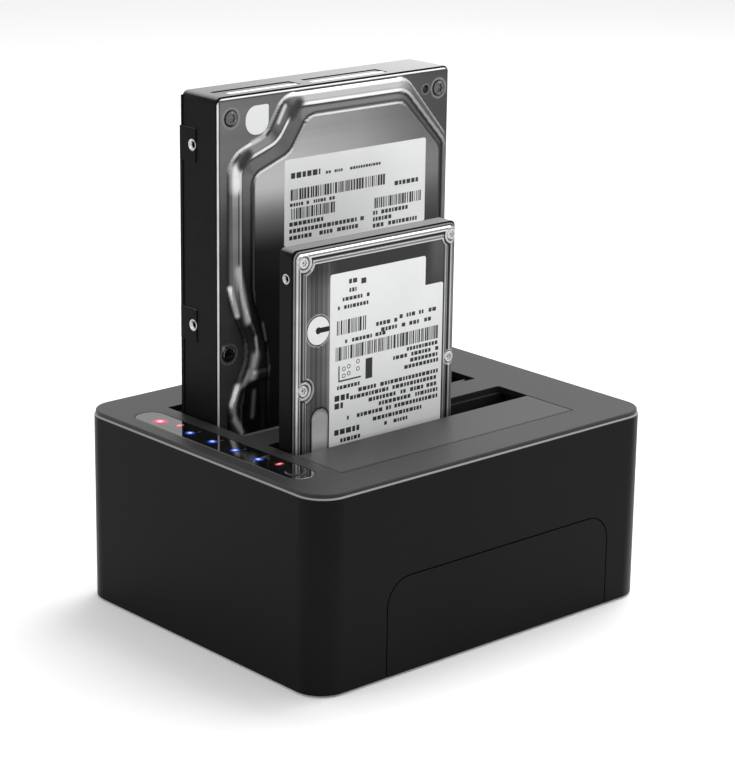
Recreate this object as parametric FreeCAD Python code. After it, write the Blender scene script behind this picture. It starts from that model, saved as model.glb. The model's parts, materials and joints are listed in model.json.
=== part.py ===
import FreeCAD, Part
import math
import os

from FreeCAD import Vector

# Two-bay drive duplicator with a 3.5 inch drive in the rear bay and a 2.5 inch drive in the front bay.
# Millimetres. Origin: centre of the footprint, on the surface the feet stand on.
# +X runs along the front face to the right, +Y to the rear, +Z up.

# General
CUT_OVERLAP = 1.0
LEAST_ROUND = 0.2

# Housing. Its width and depth follow from what stands side by side in it; see the derived sizes below.
BODY_HEIGHT = 66.6
RIGHT_BORDER = 22.25
CORNER_RADIUS = 10.0
SHELL_WALL = 2.4
RIM_BEVEL = 0.5
FOOT_REVEAL = 0.8

# Top plate
PLATE_EDGE = 1.3
PLATE_THICKNESS = 2.2
PLATE_INSET = 0.5
PLATE_BEVEL = 0.3
REGISTER_CLEARANCE = 0.2

# Base plate, its screws and feet
BASE_THICKNESS = 2.0
BASE_CLEARANCE = 0.15
CORNER_SCREW_INSET = 7.6
CORNER_BOSS_RADIUS = 4.4
CORNER_SCREW_RADIUS = 1.5
CORNER_SCREW_LENGTH = 11.0
CORNER_HOLE_SPARE = 1.0
CORNER_HEAD_RADIUS = 2.7
CORNER_HEAD_HEIGHT = 1.2
FOOT_RADIUS = 6.0
FOOT_RECESS = 0.6
FOOT_INSET = 22.0
VENT_COUNT = 9
VENT_PITCH = 6.0
VENT_WIDTH = 2.4
VENT_LENGTH = 34.0

# Arched panel low in the front face
PANEL_FROM_LEFT = 28.9
PANEL_FROM_RIGHT = 19.3
PANEL_TOP = 33.0
PANEL_RADIUS = 9.0
PANEL_THICKNESS = 1.2
PANEL_GAP = 0.45

# Bays
DRIVE_SIDE_ROOM = 0.95
BAY_CORNER = 0.6
FRONT_BORDER = 14.4
DRIVE25_FLAP_ROOM = 2.8
LAND_LENGTH = 11.4
REAR_FLAP_ROOM = 14.2
FRONT_BAY_DEPTH = 34.5
REAR_BAY_DEPTH = 39.0
FRAME_WALL = 1.6
FRAME_SIDE_ROOM = 2.0
FRAME_LEDGE = 1.2
FRAME_FLANGE = 3.0
DRIVE_SEAT_GAP = 0.3
GUIDE_RIB_THICKNESS = 1.6
GUIDE_RIB_TOP_DROP = 5.0

# Dust flaps
FLAP_LENGTH = 21.7
FLAP_THICKNESS = 1.8
FLAP_GAP = 0.3
FLAP_RIB_HEIGHT = 1.2
FLAP_RIB_WIDTH = 1.0
FLAP_RIB_SETBACK = 4.0
KNUCKLE_RADIUS = 1.3
KNUCKLE_WIDTH = 6.0
HINGE_DROP = 4.2
PIN_RADIUS = 0.75
PIN_CLEARANCE = 0.05
STOP_TAB_LENGTH = 4.0
STOP_TAB_REACH = 1.2
STOP_TAB_THICKNESS = 1.0
STOP_TAB_CLEARANCE = 0.1
FLAP_TIP_GAP = 0.4
SPRING_WIRE_RADIUS = 0.25
SPRING_CLEARANCE = 0.1
SPRING_WIDTH = 4.0
SPRING_OFFSET = 1.0
SPRING_LEG = 6.0
SPRING_LEG_RADIUS = 0.2
SPRING_LEG_FROM_END = 0.6

# Indicator window in the top plate
WINDOW_WIDTH = 10.7
WINDOW_FROM_EDGE = 5.7
WINDOW_TO_BAY = 5.25
WINDOW_FROM_FRONT = 17.7
WINDOW_FROM_BACK = 18.3
WINDOW_END_FLAT = 0.7
WINDOW_THICKNESS = 1.2
WINDOW_CLEARANCE = 0.1
WINDOW_BEVEL = 0.25

# Lights: places are measured from the window's middle line and from the end that they stand near
LED_OFFSET = -0.85
LED_RADIUS = 1.5
LED_FLANGE_RADIUS = 1.9
LED_FLANGE_HEIGHT = 1.0
LED_HOLE_CLEARANCE = 0.1
LED_PROUD = 0.1
POWER_LED_RADIUS = 1.9
POWER_LED_FROM_BACK = 11.2
FIRST_BLUE_LED = 23.5
LAST_BLUE_LED_FROM_BACK = 27.1
BLUE_LED_COUNT = 4
DASH_OFFSET = 1.45
DASH_WIDTH = 2.6
DASH_LENGTH = 1.0
DASH_PROUD = 0.05
REAR_DASH_FROM_BACK = 18.5
FRONT_DASH = 15.9

# Clone button
BUTTON_OFFSET = -0.05
BUTTON_FROM_FRONT = 6.3
BUTTON_RADIUS = 3.4
BUTTON_CLEARANCE = 0.15
BUTTON_PROUD = 0.5
BUTTON_BEVEL = 0.4
BUTTON_FLANGE_RADIUS = 4.2
BUTTON_FLANGE_THICKNESS = 0.8
BUTTON_FLANGE_GAP = 0.2
PLUNGER_RADIUS = 1.7
PLUNGER_LENGTH = 1.4
PLUNGER_CLEARANCE = 0.1
KEY_SWITCH_SIZE = 6.0
KEY_SWITCH_HEIGHT = 3.0
KEY_SWITCH_WELL = 1.6

# Indicator board
INDICATOR_BOARD_DROP = 4.8
INDICATOR_BOARD_THICKNESS = 1.6
INDICATOR_BOARD_SIDE_GAP = 0.35
INDICATOR_BOARD_END_GAP = 0.5
POST_RADIUS = 2.0
POST_SCREW_RADIUS = 0.8
POST_SCREW_HEAD_RADIUS = 1.6
POST_SCREW_HEAD_HEIGHT = 0.9
POST_SCREW_LENGTH = 4.0
POST_HOLE_SPARE = 0.2
POST_ROOT = 0.55
REAR_POST_FROM_BACK = 4.4
FRONT_POST = 15.0
FRONT_POST_OFFSET = -3.35
RIBBON_FROM_MIDDLE = 2.3
RIBBON_WIDTH = 12.0
RIBBON_THICKNESS = 0.8
RIBBON_PLUG_HEIGHT = 4.0
RIBBON_PLUG_WIDTH = 14.0
RIBBON_PLUG_DEPTH = 4.0

# Main board
BOARD_GAP_UNDER_DRIVE = 5.0
BOARD_THICKNESS = 1.6
BOARD_SIDE_ROOM = 6.7
BOARD_END_ROOM = 13.7
BOARD_TAB_WIDTH = 90.0
BOARD_TAB_GAP = 0.5
BOARD_POST_RADIUS = 3.4
BOARD_POST_FROM_SIDE = 11.0
BOARD_POST_FROM_END = 6.0
BOARD_SCREW_RADIUS = 1.2
BOARD_SCREW_LENGTH = 7.5
BOARD_HOLE_SPARE = 0.5
BOARD_SCREW_HEAD_RADIUS = 2.6
BOARD_SCREW_HEAD_HEIGHT = 1.4
BRIDGE_CHIP_SIZE = 12.0
SMALL_CHIP_SIZE = 6.0
CHIP_HEIGHT = 1.2
BRIDGE_CHIP_X = 18.7
SMALL_CHIP_PITCH = 12.0
CAPACITOR_RADIUS = 3.15
CAPACITOR_HEIGHT = 5.4
CAPACITOR_PITCH = 9.0
CAPACITOR_COUNT = 4

# Drive connectors: 22-way plug on each drive and socket in each bay
TONGUE_FROM_BACK = 3.5
CONNECTOR_FROM_LEFT = 30.1
PLUG_WIDTH = 41.0
PLUG_DEPTH = 5.6
PLUG_HEIGHT = 8.0
PLUG_MOUTH_WIDTH = 37.6
PLUG_MOUTH_DEPTH = 4.8
PLUG_MOUTH_HEIGHT = 5.2
TONGUE_THICKNESS = 1.2
SIGNAL_TONGUE_WIDTH = 10.4
POWER_TONGUE_WIDTH = 20.6
TONGUE_SPACING = 2.4
TONGUE_SHORT = 0.3
SOCKET_SIDE_CLEARANCE = 0.35
SOCKET_TOP_CLEARANCE = 0.3
SLOT_CLEARANCE = 0.35
SOCKET_FOOT_HEIGHT = 3.0
SOCKET_FOOT_EXTRA = 1.5
SOCKET_OPENING_CLEARANCE = 0.6

# Rear connection recess and ports
PORT_MIDDLE_X = 7.0
PORT_PITCH = 24.0
PORT_TO_FRAME = 2.7
PORT_RECESS_WIDTH = 74.0
PORT_RECESS_UNDER_BOARD = 4.1
PORT_RECESS_HEIGHT = 20.0
PORT_RECESS_DEPTH = 3.0
PORT_RECESS_WALL = 1.6
PORT_RECESS_RADIUS = 2.0
PORT_CLEARANCE = 0.15
USB_WIDTH = 12.0
USB_HEIGHT = 11.6
USB_DEPTH = 12.0
USB_SHELL = 0.5
USB_HAT_WIDTH = 8.4
USB_HAT_HEIGHT = 3.4
USB_TONGUE_WIDTH = 5.6
USB_TONGUE_HEIGHT = 3.2
USB_MOUTH_DEPTH = 9.0
USB_CORNER = 0.4
USB_HAT_CORNER = 0.8
CONTACT_ROOT = 0.5
JACK_WIDTH = 9.0
JACK_HEIGHT = 11.0
JACK_DEPTH = 12.5
JACK_BORE_RADIUS = 3.2
JACK_BORE_DEPTH = 9.5
JACK_PIN_RADIUS = 1.0
SWITCH_WIDTH = 15.6
SWITCH_HEIGHT = 10.4
SWITCH_DEPTH = 12.0
SWITCH_BEZEL_WIDTH = 18.0
SWITCH_BEZEL_HEIGHT = 12.8
SWITCH_BEZEL_THICKNESS = 1.0
SWITCH_CAVITY_DEPTH = 5.6
ROCKER_WIDTH = 12.4
ROCKER_HEIGHT = 7.6
ROCKER_CLEARANCE = 0.2
ROCKER_END_CLEARANCE = 0.7
ROCKER_PIVOT_DEPTH = 1.8
ROCKER_RISE = 3.6
ROCKER_DISH = 0.8
ROCKER_SKIRT = 1.2
ROCKER_TILT = 8.0
ROCKER_TRUNNION_RADIUS = 0.8
ROCKER_TRUNNION_REACH = 0.7

# 3.5 inch drive
DRIVE35_WIDTH = 101.6
DRIVE35_THICKNESS = 20.2
DRIVE35_LENGTH = 147.0
DRIVE35_BACK_GAP = 6.4
DRIVE35_CORNER = 2.2
DRIVE35_SIDE_INSET = 0.3
DRIVE35_COVER_STEP = 1.2
DRIVE35_COVER_SHEET = 0.8
DRIVE35_COVER_INSET = 0.6
DRIVE35_COVER_CORNER = 2.2
DRIVE35_BACK_INSET = 1.2
DRIVE35_FLOOR = 2.5
DRIVE35_HOLE_RADIUS = 1.75
DRIVE35_HOLE_DEPTH = 4.0
DRIVE35_SIDE_HOLE_FROM_BACK = 6.35
DRIVE35_FIRST_SIDE_HOLE = 28.5
DRIVE35_SECOND_SIDE_HOLE = 70.1
DRIVE35_THIRD_HOLE_FROM_TOP = 16.9
DRIVE35_PAD_WIDTH = 9.0
DRIVE35_PAD_NEAR = 12.0
DRIVE35_PAD_HEIGHT = 11.0
DRIVE35_BOARD_THICKNESS = 1.2
DRIVE35_BOARD_FROM_TOP = 51.0
DRIVE35_BOARD_SIDE = 9.0
DRIVE35_BOARD_GAP = 0.4
PLATTER_SIDE_ROOM = 3.3
PLATTER_ARM_ROOM = 52.0
CHAMBER_WALL = 3.5
DRIVE35_PLATTER_THICKNESS = 1.27
DRIVE35_CHAMBER_CLEARANCE = 0.8
DRIVE35_HUB_RADIUS = 12.5
DRIVE35_SCREW_RADIUS = 2.4
DRIVE35_SCREW_HEAD = 0.7
DRIVE35_SCREW_LENGTH = 6.0
SCREW_SHANK_RADIUS = 1.2
SCREW_HOLE_RADIUS = 1.25
SCREW_DIMPLE_EXTRA = 0.7
SCREW_DIMPLE_DEPTH = 0.3
SMALL_HOLE_RADIUS = 1.2
HOLE_CHAMFER = 0.5
PLUG_SEAT_CLEARANCE = 0.2
BOARD_EDGE_GAP = 0.4
ARM_ROOM_SIDE = 10.0
ARM_ROOM_ABOVE_PIVOT = 40.0
ARM_ROOM_BELOW_PIVOT = 16.0
ARM_ROOM_CORNER = 6.0
PLATTER_FROM_COVER = 3.0
PLATTER_SPACING = 4.0
HUB_FROM_COVER = 0.8
HUB_FLANGE_EXTRA = 2.0
HUB_FLANGE_THICKNESS = 1.5
ARM_PIVOT_PLATTER_RADII = (-0.564, -1.373)
ARM_TIP_PLATTER_RADII = (-0.312, -0.362)
ARM_PIVOT_RADIUS = 7.0
ARM_ROOT_WIDTH = 11.0
ARM_TIP_WIDTH = 2.0
ARM_THICKNESS = 0.8
ARM_GAP = 0.5
LABEL_THICKNESS = 0.12
LABEL_CORNER = 0.8
LABEL_MARGIN = 0.5
DRIVE35_LABEL_FROM_LEFT = 27.3
DRIVE35_LABEL_FROM_RIGHT = 11.7
DRIVE35_LABEL_FROM_TOP = 23.3
DRIVE35_LABEL_HEIGHT = 28.9
SEAL_SIZE = 9.5
SEAL_FROM_LEFT = 11.9
SEAL_FROM_TOP = 4.1
SEAL_RADIUS = 4.4
LARGE_CHIP_SIZE = 24.0
LARGE_CHIP_PLACE = (40.0, 51.0)
MIDDLE_CHIP_PLACE = (70.0, 56.0)
SMALL_CHIP_PLACE = (22.0, 26.0)
END_LABEL_LENGTH = 33.0
END_LABEL_WIDTH = 6.4
END_LABEL_NEAR = 4.6
END_LABEL_RECESS = 0.4
FIRST_END_LABEL = 5.0
SECOND_END_LABEL = 43.0

# Embossed cover of the 3.5 inch drive: what stands at its edges is measured from them
BEAD_FROM_LEFT = 4.4
BEAD_FROM_RIGHT = 1.4
BEAD_FROM_TOP = 1.6
BEAD_FROM_BOTTOM = 12.0
VALLEY_FROM_LEFT = 9.4
VALLEY_FROM_RIGHT = 3.4
VALLEY_FROM_TOP = 6.0
VALLEY_FROM_BOTTOM = 15.0
PLATEAU_FROM_LEFT = 14.5
PLATEAU_FROM_RIGHT = 5.0
PLATEAU_FROM_TOP = 9.7
PLATEAU_FROM_BOTTOM = 18.0
BRIDGE_BOTTOM = 51.0
BRIDGE_TOP = 54.5
POT_BOTTOM = 33.0
POT_WIDTH = 9.4
POT_TAPER = 1.3
POT_RADIUS = 4.0
POT_TIP_RADIUS = 2.5
POT_DROP = 0.9
PLATEAU_WAIST = 6.2
STEP_FOOT_SHARE = 0.67
BEAD_CUT_WIDTH = 19.2
BEAD_CUT_HEIGHT = 22.2
BEAD_STEP_WIDTH = 23.0
BEAD_STEP_HEIGHT = 18.2
VALLEY_CUT_WIDTH = 18.0
VALLEY_CUT_HEIGHT = 19.6
VALLEY_STEP_WIDTH = 23.0
VALLEY_STEP_HEIGHT = 16.4
PLATEAU_CUT_WIDTH = 17.0
PLATEAU_CUT_HEIGHT = 17.7
PLATEAU_STEP_WIDTH = 23.1
PLATEAU_STEP_HEIGHT = 17.1
CURL_HEIGHT = 18.0
CURL_DEPTH = 8.2
LEFT_SCREW_FROM_SIDE = 6.0
RIGHT_SCREW_FROM_SIDE = 5.2
COVER_SCREW_FROM_TOP = 7.2
COVER_SCREW_FROM_BOTTOM = 6.0
MIDDLE_SCREW_HEIGHT = 62.0
MIDDLE_SCREW_FROM_LEFT = 4.9
SMALL_HOLE_FROM_RIGHT = 11.2
SMALL_HOLE_FROM_TOP = 7.0
BEAD_RADII = (4.0, 6.0, 9.0, 9.0, 8.0, 9.0)
VALLEY_RADII = (3.0, 5.0, 8.0, 6.0, 10.0, 6.0)
PLATEAU_RADII = (3.0, 4.0, 6.0, 6.0, 9.0, 5.0)
BEAD_CURL_RADII = (22.0, 14.0, 14.0)
VALLEY_CURL_RADII = (18.0, 16.0, 12.0)
PLATEAU_CURL_RADIUS = 20.0
BEAD_SLOPE = 0.9
VALLEY_DROP = 0.7
VALLEY_SLOPE = 0.6
PLATEAU_DROP = 0.15
PLATEAU_SLOPE = 0.5
COVER_HOLLOW = 0.8

# 2.5 inch drive
DRIVE25_WIDTH = 69.85
DRIVE25_THICKNESS = 7.0
DRIVE25_LENGTH = 100.0
DRIVE25_BACK_GAP = 4.7
DRIVE25_CORNER = 2.0
DRIVE25_COVER_INSET = 0.5
DRIVE25_COVER_CORNER = 2.5
DRIVE25_LEAST_CORNER = 0.6
DRIVE25_COVER_SHEET = 0.6
DRIVE25_COVER_STEP = 0.7
DRIVE25_RIDGE_INSET = 1.0
DRIVE25_RIDGE_WIDTH = 1.3
DRIVE25_GROOVE_WIDTH = 1.1
DRIVE25_GROOVE_DROP = 0.35
DRIVE25_LEFT_SCREW_INSET = 4.3
DRIVE25_RIGHT_SCREW_INSET = 2.4
DRIVE25_TOP_SCREW_INSET = 4.3
DRIVE25_SCREW_RADIUS = 1.9
DRIVE25_SCREW_HEAD = 0.5
DRIVE25_SCREW_LENGTH = 3.0
DRIVE25_WELL_RADIUS = 2.3
DRIVE25_ROUND_RIDGE = 0.7
DRIVE25_ROUND_GROOVE = 0.5
DRIVE25_HOLE_RADIUS = 1.5
DRIVE25_HOLE_DEPTH = 3.0
DRIVE25_HOLE_FROM_BACK = 3.0
DRIVE25_FIRST_HOLE = 14.0
DRIVE25_SECOND_HOLE = 90.6
DRIVE25_BOARD_THICKNESS = 0.9
DRIVE25_BOARD_TOP = 48.0
DRIVE25_BOARD_SIDE = 6.5
DRIVE25_BOARD_GAP = 0.3
DRIVE25_LOW_SCREW = 22.0
DRIVE25_MIDDLE_SCREW = 54.0
DRIVE25_COVER_FROM_END = 8.5
DRIVE25_FIELD_DROP = 0.35
DRIVE25_HOLE_CHAMFER = 0.5
POCKET_LEFT = 8.0
POCKET_WIDTH = 6.6
POCKET_TOP = 46.8
POCKET_BOTTOM = 18.0
POCKET_DROP = 0.15
RING_SEAL_U = 10.4
RING_SEAL_V = 72.9
RING_SEAL_RADIUS = 4.6
RING_SEAL_HOLE = 1.7
DRIVE25_LABEL_FROM_LEFT = 15.2
DRIVE25_LABEL_FROM_RIGHT = 5.7
DRIVE25_LABEL_FROM_BOTTOM = 14.0
DRIVE25_LABEL_FROM_TOP = 9.8
DRIVE25_NOTCH_WIDTH = 8.0
DRIVE25_NOTCH_HEIGHT = 9.9
POCKET_CORNER = 1.0
POCKET_ARCH_RADIUS = 3.0

# Sizes, levels and places that follow from the sizes above
BAY_WIDTH = DRIVE35_WIDTH + 2 * DRIVE_SIDE_ROOM
LEFT_BORDER = WINDOW_FROM_EDGE + WINDOW_WIDTH + WINDOW_TO_BAY
BODY_WIDTH = LEFT_BORDER + BAY_WIDTH + RIGHT_BORDER
FRONT_BAY_LENGTH = FLAP_LENGTH + DRIVE25_FLAP_ROOM + DRIVE25_THICKNESS + DRIVE25_BACK_GAP
REAR_BAY_LENGTH = REAR_FLAP_ROOM + DRIVE35_THICKNESS + DRIVE35_BACK_GAP
BACK_BORDER = (PORT_RECESS_DEPTH + max(JACK_DEPTH, USB_DEPTH, SWITCH_DEPTH) + PORT_TO_FRAME
               + FRAME_WALL - FRAME_LEDGE)
BODY_DEPTH = FRONT_BORDER + FRONT_BAY_LENGTH + LAND_LENGTH + REAR_BAY_LENGTH + BACK_BORDER
HALF_WIDTH = BODY_WIDTH / 2
HALF_DEPTH = BODY_DEPTH / 2
RIM_Z = BODY_HEIGHT - PLATE_EDGE
PLATE_UNDER_Z = BODY_HEIGHT - PLATE_THICKNESS
BASE_TOP_Z = FOOT_REVEAL + BASE_THICKNESS
BAY_LEFT = -HALF_WIDTH + LEFT_BORDER
BAY_RIGHT = BAY_LEFT + BAY_WIDTH
FRONT_BAY_FRONT = -HALF_DEPTH + FRONT_BORDER
FRONT_BAY_BACK = FRONT_BAY_FRONT + FRONT_BAY_LENGTH
REAR_BAY_FRONT = FRONT_BAY_BACK + LAND_LENGTH
REAR_BAY_BACK = REAR_BAY_FRONT + REAR_BAY_LENGTH
DRIVE35_LEFT = BAY_LEFT + DRIVE_SIDE_ROOM
DRIVE35_BACK = REAR_BAY_BACK - DRIVE35_BACK_GAP
DRIVE35_FRONT = DRIVE35_BACK - DRIVE35_THICKNESS
DRIVE35_BOTTOM = BODY_HEIGHT - REAR_BAY_DEPTH
DRIVE25_BACK = FRONT_BAY_BACK - DRIVE25_BACK_GAP
DRIVE25_FRONT = DRIVE25_BACK - DRIVE25_THICKNESS
DRIVE25_BOTTOM = BODY_HEIGHT - FRONT_BAY_DEPTH
CONNECTOR_X = DRIVE35_LEFT + CONNECTOR_FROM_LEFT
BOARD_TOP_Z = DRIVE35_BOTTOM - BOARD_GAP_UNDER_DRIVE
BOARD_BOTTOM_Z = BOARD_TOP_Z - BOARD_THICKNESS
RECESS_FLOOR_Y = HALF_DEPTH - PORT_RECESS_DEPTH
INDICATOR_BOARD_TOP = PLATE_UNDER_Z - INDICATOR_BOARD_DROP
INDICATOR_BOARD_BOTTOM = INDICATOR_BOARD_TOP - INDICATOR_BOARD_THICKNESS
PORT_RECESS_BOTTOM = BOARD_TOP_Z - PORT_RECESS_UNDER_BOARD
PORT_CENTRE_Z = PORT_RECESS_BOTTOM + PORT_RECESS_HEIGHT / 2
PORT_RECESS_LEFT = PORT_MIDDLE_X - PORT_RECESS_WIDTH / 2
USB_X = PORT_MIDDLE_X - PORT_PITCH
JACK_X = PORT_MIDDLE_X
SWITCH_X = PORT_MIDDLE_X + PORT_PITCH
PANEL_LEFT = -HALF_WIDTH + PANEL_FROM_LEFT
PANEL_WIDTH = BODY_WIDTH - PANEL_FROM_LEFT - PANEL_FROM_RIGHT
WINDOW_LEFT = -HALF_WIDTH + WINDOW_FROM_EDGE
WINDOW_FRONT = -HALF_DEPTH + WINDOW_FROM_FRONT
WINDOW_LENGTH = BODY_DEPTH - WINDOW_FROM_FRONT - WINDOW_FROM_BACK
WINDOW_RADIUS = (WINDOW_WIDTH - WINDOW_END_FLAT) / 2
INDICATOR_BOARD_WIDTH = WINDOW_WIDTH - 2 * INDICATOR_BOARD_SIDE_GAP
BOARD_WIDTH = BODY_WIDTH - 2 * BOARD_SIDE_ROOM
BOARD_DEPTH = BODY_DEPTH - 2 * BOARD_END_ROOM
DRIVE35_THIRD_SIDE_HOLE = DRIVE35_LENGTH - DRIVE35_THIRD_HOLE_FROM_TOP
DRIVE35_BOARD_TOP = DRIVE35_LENGTH - DRIVE35_BOARD_FROM_TOP
DRIVE35_PLATTER_RADIUS = min(DRIVE35_WIDTH / 2 - PLATTER_SIDE_ROOM, (DRIVE35_LENGTH - PLATTER_ARM_ROOM) / 2)
PLATTER_CENTRE = (DRIVE35_WIDTH / 2,
                  DRIVE35_LENGTH - CHAMBER_WALL - DRIVE35_CHAMBER_CLEARANCE - DRIVE35_PLATTER_RADIUS)
ARM_PIVOT = (PLATTER_CENTRE[0] + ARM_PIVOT_PLATTER_RADII[0] * DRIVE35_PLATTER_RADIUS,
             PLATTER_CENTRE[1] + ARM_PIVOT_PLATTER_RADII[1] * DRIVE35_PLATTER_RADIUS)
ARM_TIP = (PLATTER_CENTRE[0] + ARM_TIP_PLATTER_RADII[0] * DRIVE35_PLATTER_RADIUS,
           PLATTER_CENTRE[1] + ARM_TIP_PLATTER_RADII[1] * DRIVE35_PLATTER_RADIUS)


# Helpers
def block(x0, x1, y0, y1, z0, z1):
    return Part.makeBox(x1 - x0, y1 - y0, z1 - z0, Vector(x0, y0, z0))


def rod(radius, length, start, direction):
    return Part.makeCylinder(radius, length, Vector(*start), Vector(*direction))


def joined(shapes):
    result = shapes[0]
    if len(shapes) > 1:
        result = shapes[0].fuse(shapes[1:])
    return result.removeSplitter()


def cut_all(shape, tools):
    return shape.cut(tools).removeSplitter() if tools else shape


def corner_points(width, height, radius, left=0.0, bottom=0.0):
    right = left + width
    top = bottom + height
    return [(left, bottom, radius), (right, bottom, radius), (right, top, radius), (left, top, radius)]


def edge_direction(start, end):
    length = math.hypot(end[0] - start[0], end[1] - start[1])
    return ((end[0] - start[0]) / length, (end[1] - start[1]) / length)


def inset_corners(corners, distance):
    # Moves every side of an anticlockwise outline inwards and keeps the rounds concentric.
    moved = []
    for index, (x, y, radius) in enumerate(corners):
        before = corners[index - 1]
        after = corners[(index + 1) % len(corners)]
        ux, uy = edge_direction(before, (x, y))
        vx, vy = edge_direction((x, y), after)
        share = distance / (1 + ux * vx + uy * vy)
        turn = ux * vy - uy * vx
        new_radius = radius - distance if turn > 0 else radius + distance
        new_radius = max(new_radius, LEAST_ROUND) if radius > 0 else 0.0
        moved.append((x - (uy + vy) * share, y + (ux + vx) * share, new_radius))
    return moved


def outline(corners, place):
    # A closed wire with a round of its own radius at each corner; place turns (u, v) into a point.
    edges = []
    starts = []
    ends = []
    middles = []
    for index, (x, y, radius) in enumerate(corners):
        before = corners[index - 1]
        after = corners[(index + 1) % len(corners)]
        ux, uy = edge_direction(before, (x, y))
        vx, vy = edge_direction((x, y), after)
        turn = math.atan2(ux * vy - uy * vx, ux * vx + uy * vy)
        reach = radius * math.tan(abs(turn) / 2)
        start = (x - ux * reach, y - uy * reach)
        end = (x + vx * reach, y + vy * reach)
        bisector = (vx - ux, vy - uy)
        size = math.hypot(*bisector)
        sag = radius / math.cos(turn / 2) - radius
        middle = (x + bisector[0] / size * sag, y + bisector[1] / size * sag)
        starts.append(place(*start))
        ends.append(place(*end))
        middles.append(place(*middle))
    for index, corner in enumerate(corners):
        if corner[2] > 0:
            edges.append(Part.Arc(starts[index], middles[index], ends[index]).toShape())
        following = starts[(index + 1) % len(corners)]
        if (following - ends[index]).Length > 1e-6:
            edges.append(Part.LineSegment(ends[index], following).toShape())
    return Part.Wire(edges)


def flat(z):
    return lambda x, y: Vector(x, y, z)


def upright(y):
    return lambda x, z: Vector(x, y, z)


def prism(corners, z0, z1):
    return Part.Face(outline(corners, flat(z0))).extrude(Vector(0, 0, z1 - z0))


def panel(corners, y0, y1):
    return Part.Face(outline(corners, upright(y0))).extrude(Vector(0, y1 - y0, 0))


def edges_where(shape, test):
    return [edge for edge in shape.Edges if test(edge)]


def at_level(z):
    def test(edge):
        box = edge.BoundBox
        return abs(box.ZMin - z) < 1e-4 and abs(box.ZMax - z) < 1e-4
    return test


def at_depth(y):
    def test(edge):
        box = edge.BoundBox
        return abs(box.YMin - y) < 1e-4 and abs(box.YMax - y) < 1e-4
    return test


def centred(x, y, width, depth, z0, z1):
    return block(x - width / 2, x + width / 2, y - depth / 2, y + depth / 2, z0, z1)


def write(name, shape):
    solids = shape.Solids
    shape = solids[0] if len(solids) == 1 else Part.makeCompound(solids)
    shape.exportStep(os.path.join("parts", name + ".step"))


# Outlines of the housing
def body_corners(inset):
    radius = CORNER_RADIUS - inset
    return corner_points(BODY_WIDTH - 2 * inset, BODY_DEPTH - 2 * inset, radius,
                         -HALF_WIDTH + inset, -HALF_DEPTH + inset)


def corner_places(inset):
    x = HALF_WIDTH - inset
    y = HALF_DEPTH - inset
    return [(-x, -y), (x, -y), (x, y), (-x, y)]


def panel_corners(gap):
    left = PANEL_LEFT - gap
    right = PANEL_LEFT + PANEL_WIDTH + gap
    top = PANEL_TOP + gap
    radius = PANEL_RADIUS + gap
    return [(left, FOOT_REVEAL, 0), (right, FOOT_REVEAL, 0), (right, top, radius), (left, top, radius)]


def window_corners(inset):
    return corner_points(WINDOW_WIDTH - 2 * inset, WINDOW_LENGTH - 2 * inset, WINDOW_RADIUS - inset,
                         WINDOW_LEFT + inset, WINDOW_FRONT + inset)


def window_place(offset, y):
    # A point off the window's middle line, y behind its front end.
    return (WINDOW_LEFT + WINDOW_WIDTH / 2 + offset, WINDOW_FRONT + y)


def blue_led_places():
    pitch = (WINDOW_LENGTH - FIRST_BLUE_LED - LAST_BLUE_LED_FROM_BACK) / (BLUE_LED_COUNT - 1)
    return [window_place(LED_OFFSET, FIRST_BLUE_LED + index * pitch) for index in range(BLUE_LED_COUNT)]


def power_led_place():
    return window_place(LED_OFFSET, WINDOW_LENGTH - POWER_LED_FROM_BACK)


def dash_places():
    return [window_place(DASH_OFFSET, WINDOW_LENGTH - REAR_DASH_FROM_BACK), window_place(DASH_OFFSET, FRONT_DASH)]


def button_place():
    return window_place(BUTTON_OFFSET, BUTTON_FROM_FRONT)


def light_holes(z0, z1):
    holes = []
    for x, y in blue_led_places():
        holes.append(rod(LED_RADIUS + LED_HOLE_CLEARANCE, z1 - z0, (x, y, z0), (0, 0, 1)))
    x, y = power_led_place()
    holes.append(rod(POWER_LED_RADIUS + LED_HOLE_CLEARANCE, z1 - z0, (x, y, z0), (0, 0, 1)))
    for x, y in dash_places():
        width = DASH_WIDTH + 2 * LED_HOLE_CLEARANCE
        length = DASH_LENGTH + 2 * LED_HOLE_CLEARANCE
        holes.append(centred(x, y, width, length, z0, z1))
    x, y = button_place()
    holes.append(rod(BUTTON_RADIUS + BUTTON_CLEARANCE, z1 - z0, (x, y, z0), (0, 0, 1)))
    return holes


def post_places():
    return [window_place(FRONT_POST_OFFSET, FRONT_POST),
            window_place(LED_OFFSET, WINDOW_LENGTH - REAR_POST_FROM_BACK)]


def board_post_places():
    x = BOARD_WIDTH / 2 - BOARD_POST_FROM_SIDE
    y = BOARD_DEPTH / 2 - BOARD_POST_FROM_END
    return [(sx * x, sy * y) for sx in (-1, 1) for sy in (-1, 1)]


# Housing shell: four walls with a rounded rim, corner screw bosses and a rear connection recess
def port_openings(y0, y1):
    usb_half = USB_WIDTH / 2 + PORT_CLEARANCE
    jack_half = JACK_WIDTH / 2 + PORT_CLEARANCE
    switch_half = SWITCH_WIDTH / 2 + PORT_CLEARANCE
    low = BOARD_TOP_Z - PORT_CLEARANCE
    openings = [block(USB_X - usb_half, USB_X + usb_half, y0, y1, low, BOARD_TOP_Z + USB_HEIGHT + PORT_CLEARANCE)]
    openings.append(block(JACK_X - jack_half, JACK_X + jack_half, y0, y1, low,
                          BOARD_TOP_Z + JACK_HEIGHT + PORT_CLEARANCE))
    switch_z = SWITCH_HEIGHT / 2 + PORT_CLEARANCE
    openings.append(block(SWITCH_X - switch_half, SWITCH_X + switch_half, y0, y1,
                          PORT_CENTRE_Z - switch_z, PORT_CENTRE_Z + switch_z))
    return openings


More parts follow.
